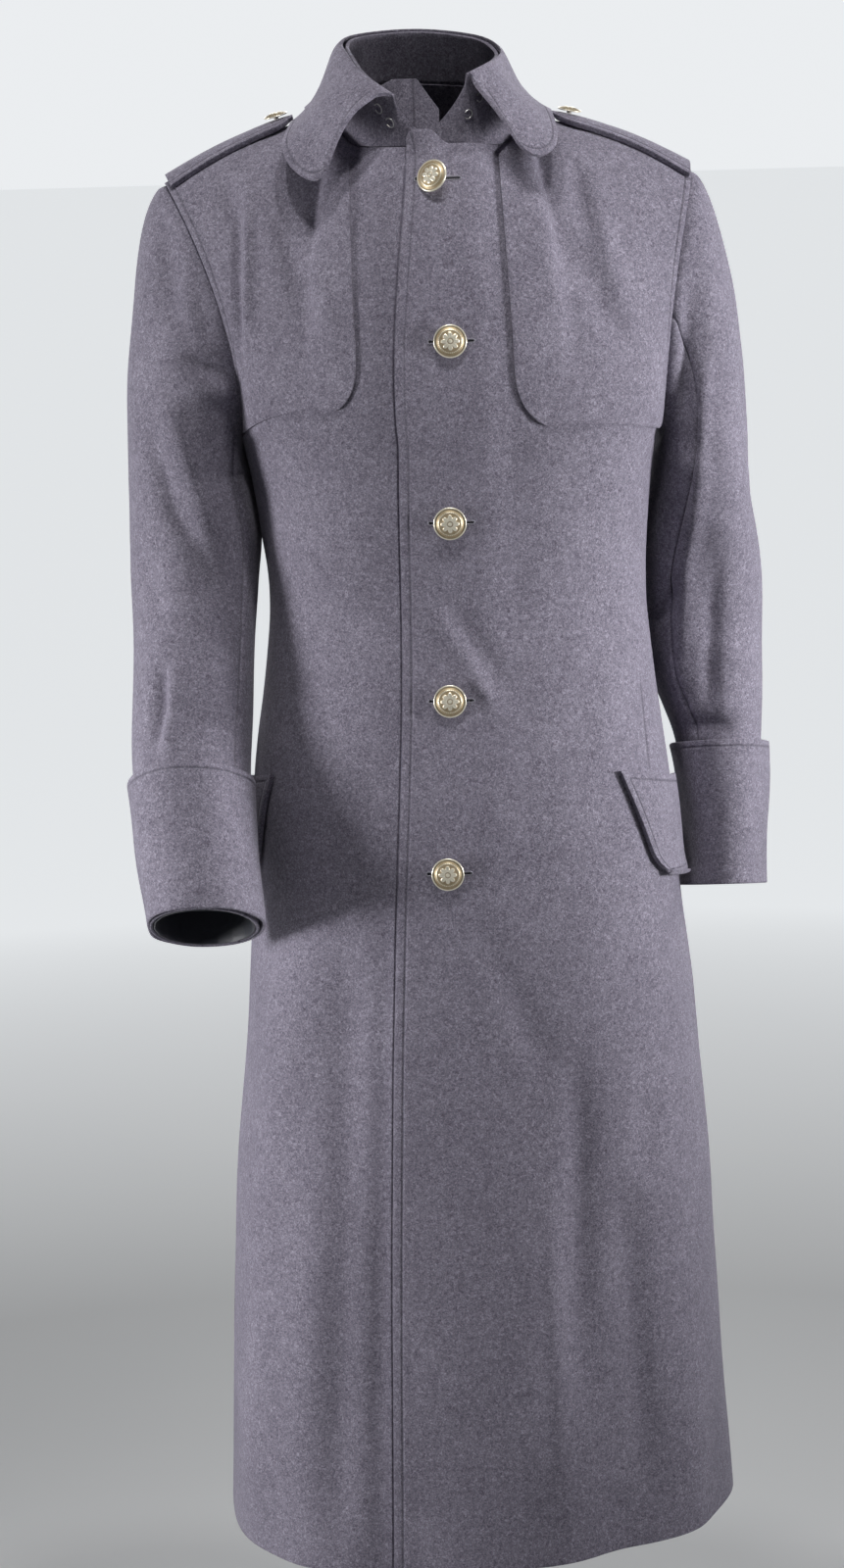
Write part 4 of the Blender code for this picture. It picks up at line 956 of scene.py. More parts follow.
def panel_form(face, side):
    count = COLUMNS[face]
    sign = SIDE_SIGN[side] * FACE_SIGN[face]
    rows = np.concatenate([np.linspace(0.0, LOWER_ROWS, LOWER_ROWS * LOWER_STEPS, endpoint=False),
                           np.linspace(LOWER_ROWS, TOP_ROW, UPPER_ROWS * UPPER_STEPS + 1)])
    columns = np.linspace(0.0, count, count * COLUMN_STEPS + 1)
    points = fine_grid(lambda column, row: panel_point(face, side, column, row), columns, rows)
    from_armhole = np.maximum(smooth((count - columns[None, :]) / CALM_COLUMNS),
                              smooth((LOWER_ROWS - rows[:, None]) / CALM_ROWS))
    relief = body_relief(points)
    if (face, side) == ("front", "right"):
        relief = relief + creases(points, [RIGHT_FRONT_CREASE])
    relief = relief * from_armhole * smooth((TOP_ROW - rows[:, None]) / CALM_TOP_ROWS)
    return {"points": points, "normals": normals_of(points, sign), "relief": relief, "rows": rows,
            "columns": columns, "sign": sign}


PANELS = {(face, side): panel_form(face, side) for face in FACE_SIGN for side in SIDE_SIGN}
print("points of the left front:", PANELS["front", "left"]["points"].shape[:2])

# %% The four panels
FRONT_STITCH = 0.007
ARMHOLE_STITCH = 0.0055
DART = ((0.1588, -0.45), (0.165, -0.527))
CORNER_RISE = 0.0095
CORNER_STAND_OFF = 0.003
CORNER_START = 0.017
CORNER_SPAN = 0.016
LAP_SHADOW_AWAY = 0.0007


def dart_vectors(points):
    along, across = beside_line(points, *DART[0], *DART[1])
    window = smooth((along + 0.05) / 0.3) * smooth((1.02 - along) / 0.04) * (points[..., 1] < 0.0)
    return np.stack([across, along, window], axis=2)


def lap_shadow(points):
    """A painted shadow: a dark line on the right front just outside the left front's edge, where they lie
    together.
    """
    edge = PANELS["front", "left"]["shown"][:, 0]
    beside = points[..., 0] - np.interp(points[..., 2], edge[:, 2], edge[:, 0]) + LAP_SHADOW_AWAY
    shown = smooth((NECK_FRONT_Z - points[..., 2]) / 0.02) * (points[..., 1] < 0.0)
    return np.stack([beside, points[..., 2], shown], axis=2)


def corner_rise(form, points):
    """The top corner of the left front stands a little over the neckline and is cut round."""
    across = lengths(points, 1)[-1]
    reach = (1.0 - smooth((across - CORNER_START) / CORNER_SPAN)) * smooth((across + 0.0035) / 0.008)
    share = reach[None, :] * smooth((form["rows"][:, None] - TOP_ROW + 0.9) / 0.9)
    return (np.array((0.0, 0.0, CORNER_RISE)) + form["normals"] * CORNER_STAND_OFF) * share[..., None]


def make_panel(face, side):
    form = PANELS[face, side]
    lapped = (face, side) == ("front", "left")
    relief = form["relief"]
    if lapped:
        relief = relief + (1.0 - smooth((form["columns"] - LAP_COLUMNS) / CHEST_COLUMNS)) * LAP_LIFT
    form["shown"] = points = raised(form["points"], form["normals"], relief)
    if lapped:
        points = points + corner_rise(form, points)
    across = lengths(points, 1)
    from_side = across[:, -1:] - across
    inner = across < from_side
    upper = form["rows"][:, None] > LOWER_ROWS + 1.0
    stitched = 1.0 if face == "front" else 0.0
    away = np.where(inner, across - FRONT_STITCH if stitched else 1.0, from_side - ARMHOLE_STITCH)
    vectors = {"stitch": sewn(away, lengths(points, 0), np.where(inner, stitched, upper))}
    if face == "front":
        # The dart's line and the line beside the lap are darkened in the cloth's colour: painted shade and
        # painted shadow.
        vectors["dart_and_lap_shadow"] = dart_vectors(points) if lapped else lap_shadow(points)
    make_cloth(f"coat_{face}_{side}", points, form["sign"], **vectors)


for face, side in PANELS:
    make_panel(face, side)

# %% [markdown]
# ## Yokes
# A second layer of cloth covers each side of the chest, from the shoulder to a rounded lower corner, and
# is sewn down close to its edge. It is cut from the front's own surface, one thickness higher, so both
# show the same creases. Just under the neckline its inner edge bends out towards the shoulder.

# %% The yokes
YOKE_CLOTH = 0.0016
YOKE_GAP = 0.0005
YOKE_BELOW_NECK = 0.00132
YOKE_CORNER = 1.05
YOKE_CORNER_HEIGHT = YOKE_CORNER * 1.6
YOKE_NECK_BEND = 1.5
YOKE_BEND_START = 0.75
YOKE_BEND_REACH = 4.0
YOKE_DOWN = 96
YOKE_WIDE = 72
YOKE_NECK_SHARE = 0.27


def yoke_places(side, rows, columns):
    """Where each point of a yoke lies on its front: the lower inner corner is rounded."""
    foot = YOKE_FOOT[side]
    up, over = np.meshgrid(rows, columns, indexing="ij")
    inside = (up < YOKE_CORNER_HEIGHT) & (over < YOKE_CORNER)
    u, v = np.clip(up / YOKE_CORNER_HEIGHT, 0.0, 1.0), np.clip(over / YOKE_CORNER, 0.0, 1.0)
    round_u = 1.0 - (1.0 - u) * np.sqrt(1.0 - (1.0 - v) ** 2 / 2.0)
    round_v = 1.0 - (1.0 - v) * np.sqrt(1.0 - (1.0 - u) ** 2 / 2.0)
    up = np.where(inside, round_u * YOKE_CORNER_HEIGHT, up)
    over = np.where(inside, round_v * YOKE_CORNER, over)
    to_top = (up - (TOP_ROW - foot - YOKE_BEND_START)) / YOKE_BEND_START
    bend = YOKE_NECK_BEND * np.clip(to_top, 0.0, 1.0) ** 1.4
    return foot + up, YOKE_START + over + bend * (1.0 - smooth(over / YOKE_BEND_REACH))


def at_places(form, values, rows, columns):
    """Values of a panel's fine grid at fractional rows and columns, by straight lines between points."""
    row_spots = np.interp(rows, form["rows"], np.arange(len(form["rows"])))
    column_spots = np.interp(columns, form["columns"], np.arange(len(form["columns"])))
    i = np.clip(row_spots.astype(int), 0, len(form["rows"]) - 2)
    j = np.clip(column_spots.astype(int), 0, len(form["columns"]) - 2)
    u, v = (row_spots - i)[..., None], (column_spots - j)[..., None]
    low = values[i, j] * (1.0 - v) + values[i, j + 1] * v
    high = values[i + 1, j] * (1.0 - v) + values[i + 1, j + 1] * v
    return low * (1.0 - u) + high * u


def make_yoke(side):
    form = PANELS["front", side]
    rows = np.linspace(0.0, TOP_ROW - YOKE_FOOT[side], YOKE_DOWN)
    columns = np.linspace(0.0, NECK_COLUMNS + SHOULDER_COLUMNS, YOKE_WIDE)
    up, over = yoke_places(side, rows, columns)
    base, normals = (at_places(form, form[values], up, over) for values in ("shown", "normals"))
    points = base + unit(normals) * (YOKE_GAP + YOKE_CLOTH)
    neck = slice(0, int(YOKE_WIDE * YOKE_NECK_SHARE))
    points[-1, neck] += unit(points[-2, neck] - points[-1, neck]) * YOKE_BELOW_NECK
    across, along = lengths(points, 1), lengths(points, 0)
    from_side = across[:, -1:] - across
    inner = np.minimum(across, along) < from_side
    stitch = sewn(np.where(inner, 1.0, from_side - ARMHOLE_STITCH), along, ~inner)
    make_cloth(f"chest_yoke_{side}", points, form["sign"], thickness=YOKE_CLOTH, stitch=stitch)


for side in SIDE_SIGN:
    make_yoke(side)

# %% [markdown]
# ## Sleeves
# A coat sleeve has a wide top piece and a narrow under piece. Both come from one tube whose grid is cut
# along the two seams. Creases are laid across the tube where the arm bends and where the cloth piles up
# above the deep cuffs.

# %% Sleeve creases
ARM_CREASES = {
    "right": (
        (-0.2267, -0.239, -0.1968, -0.335, 0.0085, -0.006),
        (-0.1983, -0.312, -0.1733, -0.383, 0.009, -0.004),
        (-0.209, -0.22, -0.175, -0.333, 0.0095, 0.005),
        (-0.2037, -0.062, -0.1994, -0.161, 0.008, -0.0045),
        (-0.2171, -0.054, -0.2159, -0.168, 0.009, 0.0022),
        (-0.1792, -0.134, -0.171, -0.18, 0.007, -0.0035),
        (-0.2215, -0.138, -0.18, -0.18, 0.01, -0.003),
        (-0.2153, -0.428, -0.2242, -0.494, 0.0058, -0.0062),
        (-0.2061, -0.429, -0.2135, -0.495, 0.007, 0.0048),
        (-0.1947, -0.192, -0.151, -0.211, 0.007, -0.0045),
        (-0.1996, -0.217, -0.1537, -0.223, 0.009, 0.003),
        (-0.2343, -0.341, -0.2139, -0.404, 0.009, -0.003),
        (-0.235, -0.455, -0.1597, -0.478, 0.01, -0.0024),
    ),
    "left": (
        (0.2109, -0.12, 0.2127, -0.215, 0.008, -0.0035),
        (0.2153, -0.203, 0.2073, -0.359, 0.0075, 0.0044),
        (0.2052, -0.323, 0.1937, -0.504, 0.0075, 0.0048),
        (0.2247, -0.378, 0.2178, -0.516, 0.008, -0.0048),
        (0.239, -0.082, 0.2429, -0.251, 0.01, 0.0022),
        (0.2022, -0.128, 0.2007, -0.257, 0.007, -0.0065),
        (0.194, -0.26, 0.245, -0.31, 0.012, -0.0022),
        (0.2, -0.33, 0.255, -0.36, 0.013, 0.0018),
        (0.1756, -0.426, 0.196, -0.387, 0.006, -0.0036),
        (0.196, -0.387, 0.235, -0.375, 0.009, -0.002),
        (0.1938, -0.434, 0.25, -0.455, 0.011, 0.002),
        (0.2009, -0.508, 0.24, -0.507, 0.006, -0.0035),
        (0.205, -0.49, 0.26, -0.498, 0.008, 0.0024),
    ),
}
ARM_BACK_CREASES = {
    "right": (
        (-0.163, -0.215, -0.152, -0.365, 0.022, 0.0046),
        (-0.23, -0.33, -0.165, -0.36, 0.012, -0.0045),
        (-0.225, -0.37, -0.16, -0.385, 0.011, 0.0035),
        (-0.235, -0.41, -0.17, -0.405, 0.011, -0.004),
        (-0.21, -0.12, -0.17, -0.22, 0.012, -0.0025),
    ),
    "left": (
        (0.25, -0.35, 0.185, -0.385, 0.012, -0.004),
        (0.25, -0.385, 0.19, -0.41, 0.011, 0.003),
        (0.255, -0.44, 0.2, -0.43, 0.011, -0.0035),
        (0.225, -0.12, 0.185, -0.22, 0.012, -0.0025),
    ),
}
print("sleeve creases:", {side: len(rows) for side, rows in ARM_CREASES.items()})

# %% The sleeves
FRONT_SLEEVE_SEAM = {"left": 7, "right": 8}
REAR_SLEEVE_SEAM = 13
RING_STEPS = 6
SLEEVE_ROW_STEPS = 9
SEAM_DIP = 0.0015
SEAM_SLANT = {"left": 10.0, "right": 0.0}
SLANT_FOOT = -0.46
SLANT_SPAN = 0.24
SLEEVE_RIPPLE = 1.7


def slanted(points, shifts):
    """The same tube with its columns turned round it, row by row, so that the seams run at a slant."""
    ring = points.shape[1] - 1
    places = (np.arange(ring + 1)[None, :] - shifts[:, None]) % ring
    low = places.astype(int)
    part = (places - low)[..., None]
    rows = np.arange(len(points))[:, None]
    return points[rows, low] * (1.0 - part) + points[rows, low + 1] * part


def sleeve_tube(side):
    last = CAP_ROWS + ARM_ROWS
    rows = np.linspace(0.0, last, last * SLEEVE_ROW_STEPS + 1)
    columns = np.linspace(0.0, AROUND, AROUND * RING_STEPS + 1)
    points = fine_grid(lambda column, row: sleeve_point(side, column, row), columns, rows, margin=1.0)
    middle = points[..., 1].mean(axis=1, keepdims=True)
    front = smooth((middle - points[..., 1] + 0.015) / 0.03)
    relief = ripple(points * SLEEVE_RIPPLE)
    relief = relief + relief_of(points, front, ARM_CREASES[side], ARM_BACK_CREASES[side])
    normals = normals_of(points, SIDE_SIGN[side], wrapped=True)
    points = raised(points, normals, relief * smooth(rows[:, None] / 2.0))
    share = smooth((points[..., 2].mean(axis=1) - SLANT_FOOT) / SLANT_SPAN)
    return slanted(points, SEAM_SLANT[side] * share)


def make_sleeve(side):
    tube = sleeve_tube(side)
    start, end = REAR_SLEEVE_SEAM * RING_STEPS, FRONT_SLEEVE_SEAM[side] * RING_STEPS
    ring = AROUND * RING_STEPS
    top = [column % ring for column in range(start - ring, end + 1)]
    for name, chosen in (("sleeve_top", top), ("sleeve_under", list(range(end, start + 1)))):
        grid = tube[:, chosen]
        across = lengths(grid, 1)
        from_seam = np.minimum(across, across[:, -1:] - across)
        dip = SEAM_DIP * np.exp(-((from_seam / SEAM_DIP) ** 2))
        make_cloth(f"{name}_{side}", raised(grid, normals_of(grid, SIDE_SIGN[side]), -dip), SIDE_SIGN[side])


for side in SIDE_SIGN:
    make_sleeve(side)

# %% [markdown]
# ## Cuffs
# The deep cuffs are turned back over the sleeve and stitched along their upper edge. Only the mouth of
# the wearer's right cuff opens towards the viewer, and there the dark lining shows.

# %% The cuffs and the lining
CUFF_DEPTH = 0.118
CUFF_OVER = CLOTH + LAY_GAP + 0.0008
CUFF_EASE = 0.0016
CUFF_STITCH = 0.0055
CUFF_RIPPLE = (1.9, 1.6)
LINING_DEPTH = 0.05
LINING_CLOTH = 0.0012
LINING_WRINKLE = 0.0005
LINING_WRINKLES = 9.0
CUFF_AROUND = 120
CUFF_DOWN = 34
LINING_DOWN = 14


def cuff_ring(side, z, ease):
    return [arm_ring_point(side, 360.0 * k / CUFF_AROUND, z, ease) for k in range(CUFF_AROUND + 1)]


def make_cuff(side):
    foot, lean = ARMS[side][-1][0], math.radians(ARMS[side][-1][-1])
    points = np.array([cuff_ring(side, foot + CUFF_DEPTH * math.cos(lean) * left,
                                 CUFF_OVER + CUFF_EASE * left**2)
                       for left in np.linspace(1.0, 0.0, CUFF_DOWN)])
    normals = normals_of(points, SIDE_SIGN[side], wrapped=True)
    points = raised(points, normals, ripple(points * CUFF_RIPPLE[0]) * CUFF_RIPPLE[1])
    make_cloth(f"turned_cuff_{side}", points, SIDE_SIGN[side], wrapped=True, rounding=0.001,
               stitch=sewn(lengths(points, 0) - CUFF_STITCH, lengths(points, 1)))


def make_cuff_lining():
    foot = ARMS["right"][-1][0]
    points = np.array([cuff_ring("right", foot + LINING_DEPTH * left, -CLOTH - LAY_GAP)
                       for left in np.linspace(1.0, 0.0, LINING_DOWN)])
    turns = np.arange(CUFF_AROUND + 1) * 2.0 * math.pi / CUFF_AROUND
    wrinkle = -LINING_WRINKLE * np.abs(np.sin(turns * LINING_WRINKLES))
    points = raised(points, normals_of(points, -1.0, wrapped=True), wrinkle[None, :])
    make_cloth("cuff_lining", points, -1.0, LINING, thickness=LINING_CLOTH, wrapped=True, rounding=0.0003)


for side in SIDE_SIGN:
    make_cuff(side)
make_cuff_lining()

# %% [markdown]
# ## Collar
# The stand is a band sewn to the neckline. The fall is sewn to its upper edge and folds over it: it
# rolls out, then drops to a free edge with rounded points, stitched 5.5 mm inside. Both are curved
# sheets, sampled along the angles round the neck.
# The stand takes the cloth darkened as painted shade, for the shade under the fall.

# %% The collar's forms
COLLAR_COLUMNS = "angle fold_x fold_y fold_z edge_x edge_y edge_z puff reach drop"
COLLAR = (
    (16.0, 0.035, -0.08, 0.019, 0.0815, -0.099, -0.0605, 0.004, 0.27, 0.026),
    (34.0, 0.047, -0.065, 0.0245, 0.0965, -0.08, -0.0425, 0.006, 0.29, 0.026),
    (60.0, 0.0575, -0.038, 0.03, 0.0985, -0.039, -0.0175, 0.006, 0.29, 0.032),
    (95.0, 0.0615, 0.002, 0.0365, 0.0925, 0.016, -0.0095, 0.006, 0.3, 0.028),
    (140.0, 0.044, 0.044, 0.048, 0.081, 0.077, -0.008, 0.008, 0.4, 0.034),
    (180.0, 0.0, 0.056, 0.054, 0.0, 0.108, -0.026, 0.01, 0.48, 0.036),
    (220.0, -0.045, 0.044, 0.052, -0.082, 0.077, -0.008, 0.008, 0.4, 0.036),
    (265.0, -0.0615, 0.002, 0.045, -0.095, 0.014, -0.0085, 0.01, 0.35, 0.036),
    (298.0, -0.057, -0.037, 0.0345, -0.104, -0.039, -0.0215, 0.01, 0.34, 0.034),
    (326.0, -0.044, -0.066, 0.0185, -0.1015, -0.083, -0.049, 0.012, 0.48, 0.02),
    (344.0, -0.024, -0.083, 0.0045, -0.0795, -0.1055, -0.0785, 0.016, 0.7, 0.012),
)
STAND_LEFT_ANGLE = 2.0
STAND_RIGHT_ANGLE = 358.0
STAND_END_HEIGHT = {"left": 0.013, "right": 0.007}
STAND_BELOW_FOLD = 0.0018
STAND_INSIDE_FOLD = 0.0025
PUFF_RISE = 0.3
STAND_END_BEND = 1.2
STAND_END_BACK = 0.3
SEAM_GAP = 0.0003
FALL_START, FALL_END = COLLAR[0][0], COLLAR[-1][0]
collar = Table(COLLAR_COLUMNS, COLLAR)


def fold_and_edge(row):
    return (np.array([row[f"{line}_{axis}"] for axis in "xyz"]) for line in ("fold", "edge"))


def fall_point(angle, part):
    """A point of the fall, from the fold at 0 to its free edge at 1."""
    row = collar(angle)
    fold, edge = fold_and_edge(row)
    away = edge - fold
    roll = fold + away * row["reach"]
    roll[2] = fold[2] - row["drop"]
    away[2] = 0.0
    puffed = fold + unit(away) * row["puff"] + np.array((0.0, 0.0, row["puff"] * PUFF_RISE))
    return bezier((fold, puffed, roll, edge), part)


def stand_top(angle):
    """The stand's upper edge, just inside and below the fold."""
    fold, _ = fold_and_edge(collar(angle))
    inward = np.array((fold[0] - NECK_CENTRE_X, fold[1], 0.0))
    return fold - unit(inward) * STAND_INSIDE_FOLD - np.array((0.0, 0.0, STAND_BELOW_FOLD))


def stand_point(angle, part):
    """A point of the stand. Its front ends lean back to where the fold starts."""
    foot = neck_point(angle) + np.array((0.0, 0.0, 2.0 * SEAM_GAP))
    top = stand_top(angle)
    if not FALL_START <= angle <= FALL_END:
        left = angle < 180.0
        end, limit = (FALL_START, STAND_LEFT_ANGLE) if left else (FALL_END, STAND_RIGHT_ANGLE)
        height = STAND_END_HEIGHT["left" if left else "right"]
        front = neck_point(angle) + np.array((0.0, STAND_END_BACK * height, height))
        top = top + (front - top) * (abs(angle - end) / abs(limit - end)) ** STAND_END_BEND
    return foot + (top - foot) * part


print("collar stations:", len(COLLAR))

# %% The stand and the fall
STAND_DOWN = 16
FOLD_CLOTH = 0.003
TIP_ROUND = 0.16
TIP_SPAN = 20.0
FALL_STITCH = 0.0055
FALL_DOWN = 44
LEAF_STAND_OFF = 0.007
LEAF_RIPPLE = (2.1, 1.3)


def make_stand():
    angles = np.concatenate([np.linspace(STAND_LEFT_ANGLE, 20.0, 12, endpoint=False),
                             np.linspace(20.0, 340.0, 150, endpoint=False),
                             np.linspace(340.0, STAND_RIGHT_ANGLE, 12)])
    points = sample(stand_point, angles, np.linspace(0.0, 1.0, STAND_DOWN))
    # The band takes the cloth darkened as painted shade.
    make_cloth("collar_band", points, 1.0, MELTON_PAINTED_SHADE, rounding=0.0006)


def fall_angles():
    near_tip = TIP_SPAN * (1.0 - np.cos(np.linspace(0.0, math.pi / 2.0, 22)))
    middle = np.linspace(FALL_START + TIP_SPAN, FALL_END - TIP_SPAN, 190)[1:-1]
    return np.concatenate([FALL_START + near_tip, middle, (FALL_END - near_tip)[::-1]])


def make_fall():
    angles = fall_angles()
    from_end = np.minimum(angles - FALL_START, FALL_END - angles) / TIP_SPAN
    corner = TIP_ROUND * (1.0 - np.sqrt(np.maximum(0.0, 1.0 - np.maximum(0.0, 1.0 - from_end) ** 2)))
    parts = np.linspace(0.0, 1.0, FALL_DOWN)
    points = np.array([[fall_point(angle, part * (1.0 - cut)) for angle, cut in zip(angles, corner)]
                       for part in parts])
    normals = normals_of(points, -1.0)
    wave = ripple(points * LEAF_RIPPLE[0]) * LEAF_RIPPLE[1] * smooth(parts / 0.3)[:, None]
    stand_off = smooth((parts - 0.3) / 0.7)[:, None] * (1.0 - smooth((from_end - 1.2) / 2.4))
    points = raised(points, normals, wave + LEAF_STAND_OFF * stand_off)
    across, down = lengths(points, 1), lengths(points, 0)
    from_edge = down[-1:] - down
    from_front = np.minimum(across, across[:, -1:] - across)
    along = np.where(from_edge < from_front, across, down)
    stitch = sewn(np.minimum(from_edge, from_front) - FALL_STITCH, along, smooth((down - 0.012) / 0.01))
    make_cloth("collar_leaf", points, -1.0, thickness=FOLD_CLOTH, rounding=0.0009, stitch=stitch)


make_stand()
make_fall()

# %% [markdown]
# ## Throat tab
# Behind the open ends of the stand a small tab of the same cloth closes the throat. It is cut at a slant
# on one side and creased by its own seam.

# %% The tab
TAB_LEFT = -0.034
TAB_RIGHT = 0.012
TAB_FOOT = -0.034
TAB_TOP = 0.0152
TAB_SHOULDERS = (-0.024, -0.005)
TAB_LEFT_SLOPE = 0.5
TAB_RIGHT_SLOPE = 1.39
TAB_INSIDE = 0.0041
TAB_LEAN = 0.01
TAB_CREASE = -0.008
TAB_CREASE_WIDTH = 0.006
TAB_CREASE_DEPTH = 0.0025
TAB_CLOTH = 0.002


def tab_point(share, part):
    x = TAB_LEFT + (TAB_RIGHT - TAB_LEFT) * share
    along = (x - NECK_CENTRE_X) / NECK_HALF
    y = TAB_INSIDE - NECK_FRONT * math.sqrt(1.0 - along**2) + TAB_LEAN * part
    pleat = TAB_CREASE_DEPTH * math.exp(-((x - TAB_CREASE) / TAB_CREASE_WIDTH) ** 2)
    top = TAB_TOP - TAB_RIGHT_SLOPE * max(0.0, x - TAB_SHOULDERS[1])
    top -= TAB_LEFT_SLOPE * max(0.0, TAB_SHOULDERS[0] - x)
    return (x, y + pleat, TAB_FOOT + (top - TAB_FOOT) * part)


tab = sample(tab_point, np.linspace(0.0, 1.0, 40), np.linspace(0.0, 1.0, 36))
# The tab takes the cloth darkened as painted shade.
make_cloth("throat_piece", tab, 1.0, MELTON_PAINTED_SHADE, thickness=TAB_CLOTH, rounding=0.0006,
           stitch=sewn(tab[..., 0] - TAB_CREASE, tab[..., 2]))

# %% [markdown]
# ## Shoulder straps
# Each strap is sewn into the sleeve head and runs in towards the collar to a blunt point, held by a
# small button. It lies on the shoulder, so its places are found by walking down the front and the back
# from the shoulder seam.

# %% The straps
STRAP_START = 0.025
STRAP_END = {"left": 0.84, "right": 0.775}
STRAP_TIP_RISE = 0.002
STRAP_HALF_WIDTH = 0.022
STRAP_TIP_HALF_WIDTH = 0.017
STRAP_LIFT = YOKE_CLOTH + 3.0 * LAY_GAP
STRAP_CLOTH = 0.004
STRAP_TIP_START = 0.82
STRAP_TIP_SPAN = 0.185
STRAP_TIP_BLUNT = 0.24
STRAP_RISE_START = 0.55
STRAP_STITCH = 0.0042
STRAP_CROWN = 0.0007
STRAP_BUTTON_SHARE = 0.875
STRAP_WIDE = 22
WALK_ROWS = 80


def strap_half_width(share):
    """The strap tapers, and its end comes to a blunt point."""
    taper = STRAP_HALF_WIDTH + (STRAP_TIP_HALF_WIDTH - STRAP_HALF_WIDTH) * share
    if share <= STRAP_TIP_START:
        return taper
    into_tip = (share - STRAP_TIP_START) / STRAP_TIP_SPAN
    return taper * max(STRAP_TIP_BLUNT, math.sqrt(1.0 - into_tip**2))


def walk_down(face, side, part, distance):
    """The point a given way down a panel from the shoulder seam, at a part of the seam's length."""
    form = PANELS[face, side]
    rows = form["rows"][::-1][:WALK_ROWS]
    column = NECK_END[face] + part * SHOULDER_COLUMNS
    line = at_places(form, form["points"], rows, np.full(rows.shape, column))
    gone = np.insert(np.cumsum(np.linalg.norm(np.diff(line, axis=0), axis=1)), 0, 0.0)
    return np.array([np.interp(distance, gone, line[:, axis]) for axis in range(3)])


def make_strap(side):
    sign = SIDE_SIGN[side]
    alongs = np.concatenate([np.linspace(0.0, 0.78, 38, endpoint=False),
                             1.0 - 0.22 * (1.0 - np.sin(np.linspace(0.0, math.pi / 2.0, 18)))])
    grid = []
    for along in alongs:
        part = 1.0 - (STRAP_START + (STRAP_END[side] - STRAP_START) * along)
        half = strap_half_width(along)
        grid.append([walk_down("front" if across >= 0.0 else "back", side, part, abs(across))
                     for across in np.linspace(-half, half, STRAP_WIDE)])
    points = np.array(grid)
    normals = normals_of(points, -sign)
    rise = STRAP_TIP_RISE * smooth((alongs - STRAP_RISE_START) / (1.0 - STRAP_RISE_START))
    crown = STRAP_CROWN * (1.0 - np.linspace(-1.0, 1.0, STRAP_WIDE) ** 2)
    outer = raised(points, normals, STRAP_LIFT + STRAP_CLOTH + rise[:, None] + crown[None, :])
    across, down = lengths(outer, 1), lengths(outer, 0)
    from_rim = np.minimum(np.minimum(across, across[:, -1:] - across), down[-1:] - down)
    make_cloth(f"shoulder_strap_{side}", outer, -sign, thickness=STRAP_CLOTH, rounding=0.0016,
               stitch=sewn(from_rim - STRAP_STITCH, down))
    row = int(np.argmin(np.abs(alongs - STRAP_BUTTON_SHARE)))
    return outer[row, STRAP_WIDE // 2], normals[row, STRAP_WIDE // 2]


STRAP_SEATS = {side: make_strap(side) for side in SIDE_SIGN}

# %% [markdown]
# ## Pocket flaps
# Each hip pocket has a slanted flap, sewn on along its top and free below, so its lower edge stands off
# the coat a little. Its front edge slants back to a rounded corner.

# %% The flaps
FLAP_LENGTH = 0.125
FLAP_DEPTH = 0.078
FLAP_SLANT = 0.46
FLAP_ROUND = 0.016
FLAP_FALL = 0.19
FLAP_GAP = 0.0009
FLAP_STAND_OFF = 0.0022
FLAP_START = {"left": 0.139, "right": -0.1305}
FLAP_TOP_Z = -0.523
FLAP_CLOTH = 0.0038
FLAP_STITCH = 0.006
FLAP_CURL = 0.0012
FLAP_CURL_SPAN = 0.12
FLAP_WAVE = 0.0004
FLAP_WIDE = 44


def flap_start(depth):
    """How far back the flap's front edge has come at a depth: a slant with its lower corner rounded."""
    low = max(0.0, depth - (FLAP_DEPTH - FLAP_ROUND))
    return FLAP_SLANT * depth + FLAP_ROUND - math.sqrt(max(0.0, FLAP_ROUND**2 - low**2))


def flap_point(side, along, depth):
    """A point of the body under the flap, a given way back and down from its front top corner."""
    sign = SIDE_SIGN[side]
    z = FLAP_TOP_Z - depth - FLAP_FALL * along
    row = level(z)
    start = math.radians(angle_at(level(FLAP_TOP_Z), FLAP_START[side]))
    radius = (row["half_width"] + row["front"]) / 2.0
    angle = math.degrees(start + sign * along / radius)
    return body_point(angle, z)


def make_flap(side):
    sign = SIDE_SIGN[side]
    corner = 1.0 - np.sin(np.linspace(0.0, math.pi / 2.0, 14))
    depths = np.concatenate([np.linspace(0.0, FLAP_DEPTH - FLAP_ROUND, 22, endpoint=False),
                             FLAP_DEPTH - FLAP_ROUND * corner])
    points = np.array([[flap_point(side, along, depth)
                        for along in np.linspace(flap_start(depth), FLAP_LENGTH, FLAP_WIDE)]
                       for depth in depths])
    part = depths / FLAP_DEPTH
    curl = FLAP_CURL * np.exp(-((1.0 - part) / FLAP_CURL_SPAN) ** 2) * part
    stand = FLAP_GAP + FLAP_STAND_OFF * part**2 + curl + FLAP_WAVE * np.sin(part * 5.0)
    outer = raised(points, normals_of(points, -sign), stand[:, None] + FLAP_CLOTH + body_relief(points))
    across, down = lengths(outer, 1), lengths(outer, 0)
    from_ends = np.minimum(down, down[-1:] - down)
    stitch = sewn(np.minimum(across, from_ends) - FLAP_STITCH, np.where(across < from_ends, down, across))
    make_cloth(f"flap_{side}", outer, -sign, thickness=FLAP_CLOTH, rounding=0.0013, stitch=stitch)


for side in SIDE_SIGN:
    make_flap(side)

# %% [markdown]
# ## Buttons
# The buttons are struck from sheet metal: a dome with a raised pattern, a rolled rim and a shank behind.
# The pattern here is a plain rosette of eight petals inside a ring, made for this lesson. Half of the
# button's section is spun round, and the dome's points are then pushed up into the pattern.

# %% The button
BUTTON_RADIUS = 0.0127
BUTTON_UPRIGHT = 0.7
BUTTON_SEAT = 0.0002
BUTTON_PLACES = ((0.0078, -0.06), (0.0147, -0.181), (0.0113, -0.32), (0.0077, -0.458), (0.0025, -0.591))
STRAP_BUTTON_RADIUS = 0.0095
DOME_RADIUS = 0.0082
DOME_TOP = 0.0068
DOME_DROP = 0.0012
